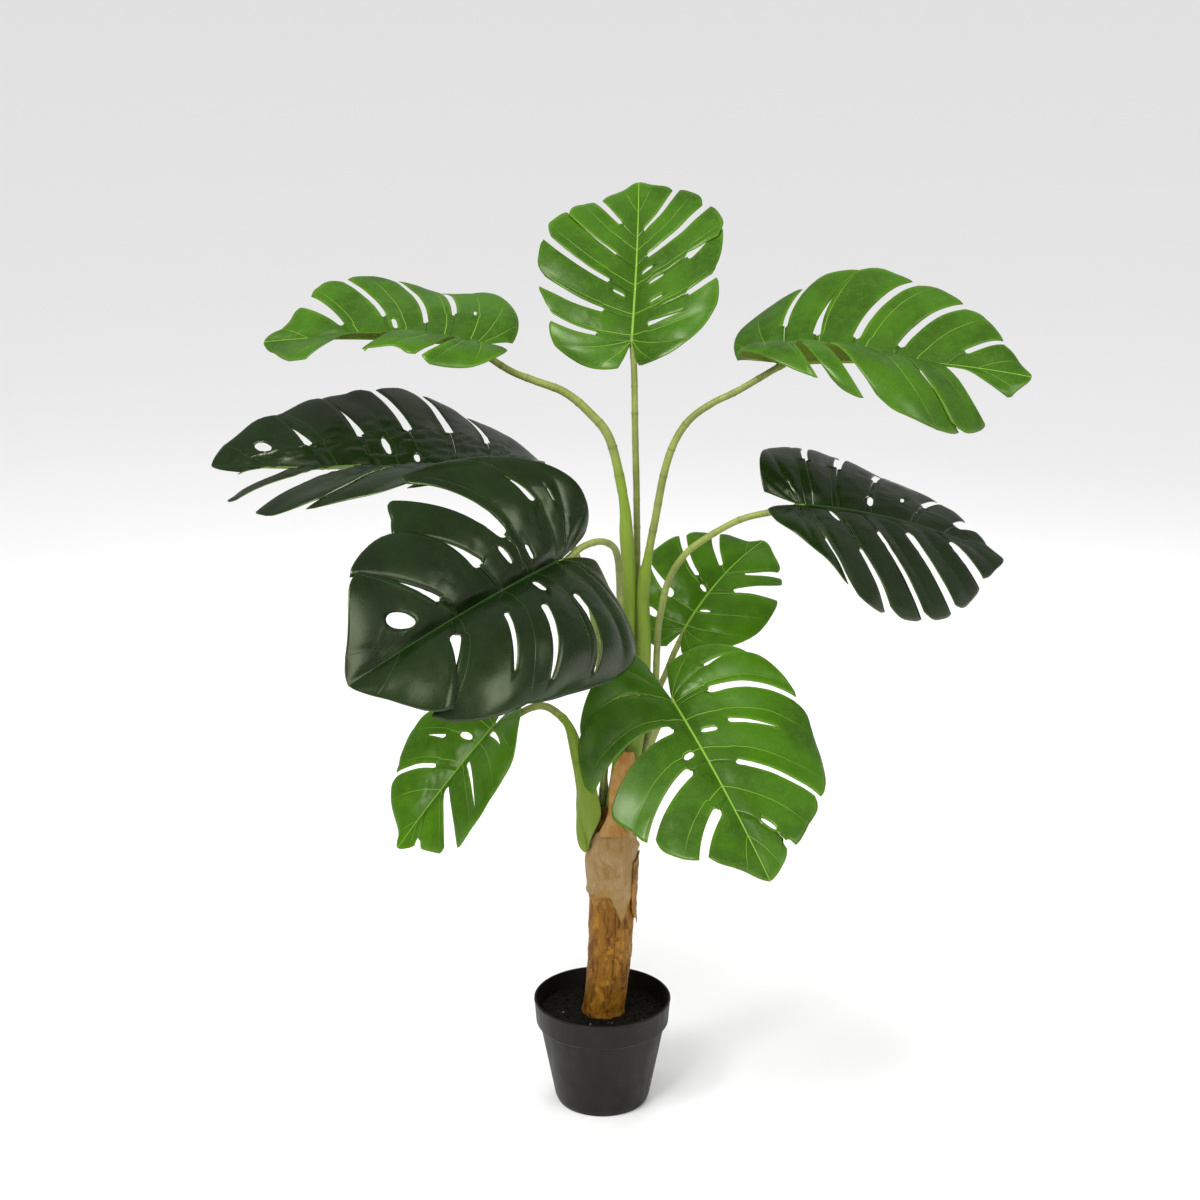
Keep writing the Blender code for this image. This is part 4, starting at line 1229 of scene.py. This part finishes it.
def smooth_route(points, per_span):
    """Points along a smooth curve that passes through the route's own points."""
    ends = [2 * points[0] - points[1], *points, 2 * points[-1] - points[-2]]
    route = []
    for before, here, there, after in zip(ends, ends[1:], ends[2:], ends[3:]):
        for step in range(per_span):
            t = step / per_span
            route.append(
                0.5
                * (
                    2 * here
                    + (there - before) * t
                    + (2 * before - 5 * here + 4 * there - after) * t**2
                    + (3 * here - before - 3 * there + after) * t**3
                )
            )
    route.append(points[-1])
    return route


def stem_radius(radii, share):
    """The stem's radius at a share of its points."""
    for (low, first), (high, second) in zip(radii, radii[1:]):
        if share <= high:
            part = (share - low) / (high - low)
            return first + (second - first) * part * part * (3.0 - 2.0 * part)
    return radii[-1][1]


def add_stem(stem, leaf, settings, material):
    """A stem with its joints: a tube swept along the stem's route, ending in a collar under the blade."""
    rib = Midrib(leaf)
    point, forward, _, upward = rib.at(0.0)
    tip_radius = stem.radii[-1][1]
    under = point - upward * (0.75 * tip_radius + BLADE_THICKNESS)
    foot = Vector(stem.route[0])
    upright = Vector((0.0, 0.0, STEM_END_RUN))
    bends = [foot, foot + upright, *map(Vector, stem.route[1:]), under, under + forward * STEM_END_RUN]
    route = smooth_route(bends, STEM_STEPS)
    travelled = [0.0]
    for here, there in zip(route, route[1:]):
        travelled.append(travelled[-1] + (there - here).length)
    total = travelled[-1]
    phase = 0.37 * settings.ring_spacing
    shape = bmesh.new()
    ring_layer = shape.verts.layers.float.new("ring")
    sheath_layer = shape.verts.layers.float.new("sheath")
    outward = Vector((1.0, 0.0, 0.0))
    rings = []
    for index, (place, run) in enumerate(zip(route, travelled)):
        before = route[max(0, index - 1)]
        after = route[min(len(route) - 1, index + 1)]
        tangent = (after - before).normalized()
        outward = (outward - tangent * outward.dot(tangent)).normalized()
        sideways = tangent.cross(outward)
        share = index / (len(route) - 1)
        radius = stem_radius(stem.radii, share)
        gap = (run + phase) % settings.ring_spacing
        gap = min(gap, settings.ring_spacing - gap)
        on_sheath = share < stem.sheath
        raised = 0.0 if on_sheath else math.exp(-((gap / RING_SPAN) ** 2))
        if stem.sheath and abs(share - stem.sheath) < SHEATH_LIP_SPAN:
            raised = SHEATH_LIP_HEIGHT
        collar = math.exp(-(((total - run - COLLAR_FROM_TIP) / COLLAR_SPAN) ** 2))
        radius += settings.ring_height * raised + COLLAR_HEIGHT * collar
        if index > len(route) - TIP_RINGS:
            radius *= (len(route) - index) / TIP_RINGS
        ring = []
        has_sheath = 1.0 if on_sheath else max(0.0, 1.0 - (share - stem.sheath) / SHEATH_FADE)
        for side in range(settings.sides):
            angle = math.tau * side / settings.sides
            spot = Vector((math.cos(angle), math.sin(angle), run * STEM_BUMPS_PER_METRE))
            bumps = 1.0 + STEM_BUMP * noise.noise(spot)
            vert = shape.verts.new(
                place + (outward * math.cos(angle) + sideways * math.sin(angle)) * (radius * bumps)
            )
            vert[ring_layer] = 0.0 if on_sheath else RING_TINT * math.exp(-((gap / (0.5 * RING_SPAN)) ** 2))
            vert[sheath_layer] = has_sheath
            ring.append(vert)
        rings.append(ring)
    for lower, upper in zip(rings, rings[1:]):
        for side in range(settings.sides):
            after = (side + 1) % settings.sides
            shape.faces.new((lower[side], lower[after], upper[after], upper[side]))
    shape.faces.new(rings[0][::-1])
    shape.faces.new(rings[-1])
    add_piece(stem.name + "_tube", mesh_from(stem.name + "_tube", shape), (material,), stem.name)


# Bark and soil geometry


BARK_ROWS = 90
BARK_COLUMN_DEGREES = 2.2
EDGE_LIFT = 0.0012
PALE_BARK_SHADE, PALE_BARK_BLUSH = (0.25, 0.135, 0.035), (0.30, 0.17, 0.035)
CORE_LIGHT, CORE_DARK = (0.24, 0.105, 0.014), (0.055, 0.017, 0.002)
TONGUE_LIGHT, TONGUE_DARK = (0.42, 0.26, 0.090), (0.30, 0.115, 0.016)
CRUMB_FROM, CRUMB_TO = 0.029, 0.0795
CRUMB_LEAST, CRUMB_SPREAD = 0.0006, 0.0018
FLECK_CHANCE = 0.018
SOIL_RINGS, SOIL_SIDES = 64, 220
SOIL_HOLE = 0.015
SOIL_FOOT = 0.040
SOIL_WALL_GAP = 0.0035
SOIL_CROWN = 0.030  # radius of the level middle, outside which the soil falls towards the wall
SOIL_FALL = 0.0030
SOIL_SETTLE = 0.0022
SOIL_TAPER = 0.80


def add_bark(name, start, end, foot, head, lift, wrinkle, material, cad_node):
    """A wrinkled sheet of bark round the trunk, with ragged ends, thickened inwards."""
    columns = max(48, int(abs(end - start) / BARK_COLUMN_DEGREES))
    shape = bmesh.new()
    grid = []
    for column in range(columns + 1):
        degrees = start + (end - start) * column / columns
        angle = math.radians(degrees)
        around = Vector((math.cos(angle), math.sin(angle), 0.0))
        ragged = 0.0035 * noise.noise(around * 5.0 + Vector((0, 0, lift * 900.0)))
        ragged += 0.0022 * noise.noise(around * 22.0)
        low = foot(degrees) + ragged
        high = head(degrees) + 1.2 * ragged
        edge = min(column, columns - column) / columns
        line = []
        for row in range(BARK_ROWS + 1):
            share = row / BARK_ROWS
            height = low + (high - low) * share
            x, y, radius = trunk_at(height)
            spot = around * 1.2 + Vector((0.0, 0.0, height * 60.0))
            folds = noise.noise(spot * 1.0) + 0.6 * noise.noise(spot * 2.6) + 0.35 * noise.noise(spot * 6.0)
            spread = EDGE_LIFT * max(0.0, 1.0 - 12.0 * min(edge, share, 1.0 - share))
            radius += lift + wrinkle * folds + spread
            line.append(shape.verts.new((x + radius * around.x, y + radius * around.y, height)))
        grid.append(line)
    for near, far in zip(grid, grid[1:]):
        for row in range(BARK_ROWS):
            shape.faces.new((near[row], far[row], far[row + 1], near[row + 1]))
    piece = add_piece(name, mesh_from(name, shape), (material,), cad_node)
    thicken(piece, BARK_THICKNESS, -1.0)


def add_crumbs(shape, settings, level_at):
    """Loose crumbs and a few pale flecks on the soil, each a small uneven lump."""
    dice = random.Random(11)
    for index in range(settings.crumbs):
        angle = dice.uniform(0.0, math.tau)
        distance = math.sqrt(dice.uniform(CRUMB_FROM**2, CRUMB_TO**2))
        size = CRUMB_LEAST + CRUMB_SPREAD * dice.random() ** 2.5
        centre = Vector((distance * math.cos(angle), distance * math.sin(angle), 0.0))
        centre.z = level_at(centre.x, centre.y) + 0.3 * size
        made = bmesh.ops.create_icosphere(shape, subdivisions=1, radius=size)
        stretch = Vector((dice.uniform(0.7, 1.5), dice.uniform(0.7, 1.3), dice.uniform(0.5, 0.9)))
        turn = dice.uniform(0.0, math.tau)
        for vert in made["verts"]:
            vert.co *= 1.0 + 0.25 * noise.noise(vert.co * 900.0 + Vector((index, 0, 0)))
            vert.co = Vector(part * scale for part, scale in zip(vert.co, stretch))
            x = vert.co.x * math.cos(turn) - vert.co.y * math.sin(turn)
            vert.co.y = vert.co.x * math.sin(turn) + vert.co.y * math.cos(turn)
            vert.co.x = x
            vert.co += centre
        finish = int(dice.random() < FLECK_CHANCE)
        for face in {face for vert in made["verts"] for face in vert.link_faces}:
            face.material_index = finish


# Operators


class MONSTERA_OT_pot(bpy.types.Operator):
    """Build the nursery pot with its rolled rim and rim band"""

    bl_idname = "monstera.pot"
    bl_label = "Pot"

    def execute(self, context):
        settings = context.scene.monstera_pot
        under_rim = POT_HEIGHT - RIM_BAND
        body_top = POT_RIM_RADIUS - RIM_STEP - 0.003
        profile = (
            (0.0, 0.0015, 0),
            (POT_BASE_RADIUS - 0.010, 0.0015, 0.0006),
            (POT_BASE_RADIUS - 0.008, 0.0, 0.0006),
            (POT_BASE_RADIUS - 0.0025, 0.0, 0.0012),
            (POT_BASE_RADIUS + 0.0008, 0.0068, 0.004),
            (body_top, under_rim - 0.003, 0.0008),
            (POT_RIM_RADIUS - 0.0028, under_rim, 0.0010),
            (POT_RIM_RADIUS - 0.0006, POT_HEIGHT - 0.004, 0.0010),
            (POT_RIM_RADIUS, POT_HEIGHT - 0.0028, 0.0008),
            (POT_RIM_RADIUS - 0.0002, POT_HEIGHT, 0.0011),
            (POT_RIM_RADIUS - POT_WALL - 0.0006, POT_HEIGHT, 0.0008),
            (POT_RIM_RADIUS - POT_WALL - 0.003, under_rim, 0.0008),
            (body_top - POT_WALL, under_rim - 0.003, 0.0008),
            (POT_BASE_RADIUS - POT_WALL - 0.001, POT_FLOOR, 0.002),
            (0.0, POT_FLOOR, 0),
        )
        shape = turned(rounded(profile), settings.sides)
        add_piece("nursery_pot", mesh_from("nursery_pot", shape), (pot_plastic(settings),), "pot")
        return {"FINISHED"}


class MONSTERA_OT_soil(bpy.types.Operator):
    """Build the soil with its lumps, crumbs and pale flecks"""

    bl_idname = "monstera.soil"
    bl_label = "Soil"

    def execute(self, context):
        settings = context.scene.monstera_soil
        wall = POT_RIM_RADIUS - POT_WALL - SOIL_WALL_GAP

        def level_at(x, y):
            distance = math.hypot(x, y)
            spot = Vector((x, y, 0.0)) * 60.0
            lumps = noise.noise(spot) + 0.7 * noise.noise(spot * 2.7) + 0.5 * noise.noise(spot * 7.0)
            fall = SOIL_FALL * max(0.0, (distance - SOIL_CROWN) / (wall - SOIL_CROWN))
            return SOIL_LEVEL - SOIL_SETTLE - fall + 0.5 * settings.lump * lumps

        shape = bmesh.new()
        lines = []
        for ring in range(SOIL_RINGS + 1):
            distance = SOIL_HOLE + (wall - SOIL_HOLE) * ring / SOIL_RINGS
            line = []
            for side in range(SOIL_SIDES):
                angle = math.tau * side / SOIL_SIDES
                x, y = distance * math.cos(angle), distance * math.sin(angle)
                line.append(shape.verts.new((x, y, level_at(x, y))))
            lines.append(line)
        outer_line = [vert.co for vert in lines[-1]]
        bottom = [shape.verts.new((SOIL_TAPER * co.x, SOIL_TAPER * co.y, SOIL_FOOT)) for co in outer_line]
        lines.append(bottom)
        for inner, outer in zip(lines, lines[1:]):
            for side in range(SOIL_SIDES):
                after = (side + 1) % SOIL_SIDES
                shape.faces.new((inner[side], outer[side], outer[after], inner[after]))
        shape.faces.new(bottom[::-1])
        shape.faces.new(lines[0][::-1])
        bmesh.ops.recalc_face_normals(shape, faces=shape.faces)
        add_crumbs(shape, settings, level_at)
        materials = (damp_soil(settings), pale_fleck(settings))
        add_piece("potting_soil", mesh_from("potting_soil", shape), materials, "soil")
        return {"FINISHED"}


class MONSTERA_OT_bark(bpy.types.Operator):
    """Build the trunk's core and the wraps of bark round it"""

    bl_idname = "monstera.bark"
    bl_label = "Trunk and bark"

    def execute(self, context):
        settings = context.scene.monstera_bark
        golden, brown, pale = map(tuple, (settings.golden, settings.brown, settings.pale))
        lower = bark_material("golden bark", golden, brown, 0.10, 0.10)
        upper = bark_material("pale bark", pale, PALE_BARK_SHADE, 0.05, 0.14, PALE_BARK_BLUSH)
        dark = bark_material("dark bark", CORE_LIGHT, CORE_DARK, 0.10, 0.11)
        tongue = bark_material("dried leaf base", TONGUE_LIGHT, TONGUE_DARK, 0.08, 0.12)
        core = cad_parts["trunk"]
        core.data.materials.clear()
        core.data.materials.append(dark)
        wrinkle = settings.wrinkle
        add_bark(
            "golden_wrap", -80, 279, lambda a: SOIL_LEVEL - 0.006, lambda a: 0.304,
            0.0014, wrinkle, lower, "lower_bark",
        )
        add_bark(
            "pale_sheath", -215, 30,
            sheath_foot, lambda a: 0.385 - 0.036 * min(1.0, max(0.0, abs(a + 88) - 24) / 60),
            0.0032, 0.6 * wrinkle, upper, "upper_bark",
        )
        add_bark(
            "dark_flap", -40, 60,
            lambda a: 0.246 + 0.0006 * abs(a + 5), lambda a: 0.346 - 0.0004 * abs(a + 10),
            0.0042, wrinkle, lower, "side_bark",
        )
        add_tongue(tongue)
        return {"FINISHED"}


def sheath_foot(degrees):
    """The lower edge of the pale sheath: level on the left, with a point in front."""
    if degrees < -67:
        return 0.257 + 0.033 * min(1.0, (-67 - degrees) / 25)
    return 0.257 + 0.055 * min(1.0, (degrees + 67) / 44)


def strip_mesh(shape, sections, columns=24):
    """Adds a rippled strip that passes through the arcs of a table."""
    arcs = [smooth_route([Vector(section[low:low + 3]) for section in sections], 8) for low in (0, 3)]
    ends = smooth_route([Vector((section[6], 0.0, 0.0)) for section in sections], 8)
    grid = []
    for (height, x, y), (wide, deep, start), (end, _, _) in zip(*arcs, ends):
        line = []
        for column in range(columns + 1):
            angle = math.radians(start + (end - start) * column / columns)
            ripple = 1.0 + 0.035 * noise.noise(Vector((angle * 2.0, wide * 90.0, height * 40.0)))
            place = (x + ripple * wide * math.cos(angle), y + ripple * deep * math.sin(angle), height)
            line.append(shape.verts.new(place))
        grid.append(line)
    for near, far in zip(grid, grid[1:]):
        for column in range(columns):
            shape.faces.new((near[column], near[column + 1], far[column + 1], far[column]))


def add_tongue(material):
    """The dried leaf base: a thin fibrous tongue in front of the stems, wider at its top."""
    shape = bmesh.new()
    strip_mesh(shape, TONGUE)
    mesh = mesh_from("dried_tongue", shape)
    piece = add_piece("dried_tongue", mesh, (material,), "dried_leaf_base")
    thicken(piece, TONGUE_THICKNESS, 0.0)


def add_green_wrap(material):
    """The broad green sheath of the lowest stem, clasping the trunk's top."""
    shape = bmesh.new()
    sheath_layer = shape.verts.layers.float.new("sheath")
    strip_mesh(shape, GREEN_WRAP)
    for vert in shape.verts:
        vert[sheath_layer] = 1.0
    mesh = mesh_from("lower_left_wrap", shape)
    piece = add_piece("lower_left_wrap", mesh, (material,), "lower_left_stem")
    thicken(piece, WRAP_THICKNESS, -1.0)


class MONSTERA_OT_stems(bpy.types.Operator):
    """Build the nine stems with their joints and sheaths"""

    bl_idname = "monstera.stems"
    bl_label = "Stems"

    def execute(self, context):
        settings = context.scene.monstera_stems
        material = stem_material(settings)
        leaves = {leaf.name: leaf for leaf in LEAVES}
        for stem in STEMS:
            add_stem(stem, leaves[stem.leaf], settings, material)
        add_green_wrap(material)
        return {"FINISHED"}


class MONSTERA_OT_leaves(bpy.types.Operator):
    """Build the nine leaf blades with their slits, holes, pleats and veins"""

    bl_idname = "monstera.leaves"
    bl_label = "Leaves"

    def execute(self, context):
        settings = context.scene.monstera_leaves
        vein, deep_vein = tuple(settings.vein), tuple(settings.deep_vein)
        rim, under = tuple(settings.margin), tuple(settings.under)
        mid, deep, young = map(tuple, (settings.mid, settings.deep, settings.young))
        dull = settings.roughness
        tops = {
            "mid": leaf_top("leaf green", mid, vein, rim, dull, 0.58, 0.5, 0.42),
            "deep": leaf_top("deep green", deep, deep_vein, DEEP_MARGIN, dull - 0.06, 0.6, 0.3, 0.52),
            # Partly painted light: the young green top is brighter to stand in for light shining through the
            # two back leaves.
            "young": leaf_top("young green", young, vein, rim, dull, 0.60, 0.5, 0.28),
        }
        unders = {
            "mid": leaf_under("leaf green underside", under),
            "deep": leaf_under("deep green underside", DEEP_UNDER),
            # Partly painted light: the young green underside is brighter to stand in for light shining
            # through the two back leaves.
            "young": leaf_under("young green underside", YOUNG_BACKLIT_UNDER),
        }
        for leaf in LEAVES:
            add_leaf(leaf, settings, tops, unders)
        return {"FINISHED"}


FLOOR_RADIUS = 400.0
FLOOR_LEVEL = -0.0002
CAMERA_ASIDE = -0.003


class MONSTERA_OT_stage(bpy.types.Operator):
    """Set up the pale floor, the soft lights and the camera"""

    bl_idname = "monstera.stage"
    bl_label = "Stage"

    def execute(self, context):
        settings = context.scene.monstera_stage
        scene = context.scene
        shape = bmesh.new()
        bmesh.ops.create_circle(shape, cap_ends=True, segments=96, radius=FLOOR_RADIUS)
        floor = bpy.data.objects.new("floor", mesh_from("floor", shape))
        paint, tree, shader = new_material("floor paint")
        tone = mottle(tree, position(tree), 3.0, 2.0)
        pale = tuple(settings.floor)
        finish_shader(tree, shader, blend(tree, tone, pale, scaled(pale, 0.985)), 0.85)
        floor.data.materials.append(paint)
        floor.location.z = FLOOR_LEVEL
        scene.collection.objects.link(floor)
        self.add_light(scene, "key_light", (-1.0, -1.6, 2.7), (0.0, 0.0, 0.65), 1.2, settings.key)
        self.add_light(scene, "fill_light", (1.7, -1.5, 1.9), (0.0, 0.0, 0.65), 1.4, settings.fill)
        back = self.add_light(scene, "back_light", (0.6, 1.8, 2.4), (0.0, 0.0, 0.75), 1.4, settings.fill)
        back.visible_glossy = False
        sun = bpy.data.lights.new("overhead_light", "SUN")
        sun.energy = settings.overhead
        sun.angle = math.radians(60.0)
        overhead = bpy.data.objects.new("overhead_light", sun)
        overhead.rotation_euler = (math.radians(14.0), math.radians(-10.0), 0.0)
        overhead.visible_glossy = False
        scene.collection.objects.link(overhead)
        world = bpy.data.worlds.new("white surroundings")
        world.use_nodes = True
        sky = world.node_tree.nodes["Background"]
        sky.inputs["Color"].default_value = (1.0, 1.0, 1.0, 1.0)
        sky.inputs["Strength"].default_value = settings.sky
        scene.world = world
        scene.view_settings.view_transform = "Standard"
        lens = bpy.data.cameras.new("camera")
        lens.lens = settings.lens
        lens.sensor_width = 36.0
        camera = bpy.data.objects.new("camera", lens)
        camera.location = (CAMERA_ASIDE, -settings.distance, settings.height)
        camera.rotation_euler = (math.pi / 2 - settings.tilt, 0.0, 0.0)
        scene.collection.objects.link(camera)
        scene.camera = camera
        return {"FINISHED"}

    def add_light(self, scene, name, place, target, size, power):
        """Adds a soft square light that faces a point."""
        lamp = bpy.data.lights.new(name, "AREA")
        lamp.shape = "SQUARE"
        lamp.size = size
        lamp.energy = power
        light = bpy.data.objects.new(name, lamp)
        light.location = place
        light.rotation_euler = (Vector(target) - Vector(place)).to_track_quat("-Z", "Y").to_euler()
        scene.collection.objects.link(light)
        return light


class MONSTERA_PT_panel(bpy.types.Panel):
    """The sidebar panel that lists the pieces and their settings"""

    bl_idname = "MONSTERA_PT_panel"
    bl_label = "Potted Monstera"
    bl_space_type = "VIEW_3D"
    bl_region_type = "UI"
    bl_category = "Monstera"

    def draw(self, context):
        for operator, group in STEPS:
            box = self.layout.box()
            box.operator(operator.bl_idname)
            settings = getattr(context.scene, group)
            for name in type(settings).__annotations__:
                box.prop(settings, name)


GROUPS = {
    "monstera_pot": PotSettings,
    "monstera_soil": SoilSettings,
    "monstera_bark": BarkSettings,
    "monstera_stems": StemSettings,
    "monstera_leaves": LeafSettings,
    "monstera_stage": StageSettings,
}
STEPS = (
    (MONSTERA_OT_pot, "monstera_pot"),
    (MONSTERA_OT_soil, "monstera_soil"),
    (MONSTERA_OT_bark, "monstera_bark"),
    (MONSTERA_OT_stems, "monstera_stems"),
    (MONSTERA_OT_leaves, "monstera_leaves"),
    (MONSTERA_OT_stage, "monstera_stage"),
)


def register():
    """Registers the settings, the operators and the panel."""
    for name, group in GROUPS.items():
        bpy.utils.register_class(group)
        setattr(bpy.types.Scene, name, PointerProperty(type=group))
    for operator, _ in STEPS:
        bpy.utils.register_class(operator)
    bpy.utils.register_class(MONSTERA_PT_panel)


def unregister():
    """Takes away what register added."""
    bpy.utils.unregister_class(MONSTERA_PT_panel)
    for operator, _ in reversed(STEPS):
        bpy.utils.unregister_class(operator)
    for name, group in reversed(GROUPS.items()):
        delattr(bpy.types.Scene, name)
        bpy.utils.unregister_class(group)


def main():
    """Builds every piece and the stage."""
    register()
    for operator, _ in STEPS:
        section, name = operator.bl_idname.split(".")
        getattr(getattr(bpy.ops, section), name)()


if __name__ == "__main__":
    main()
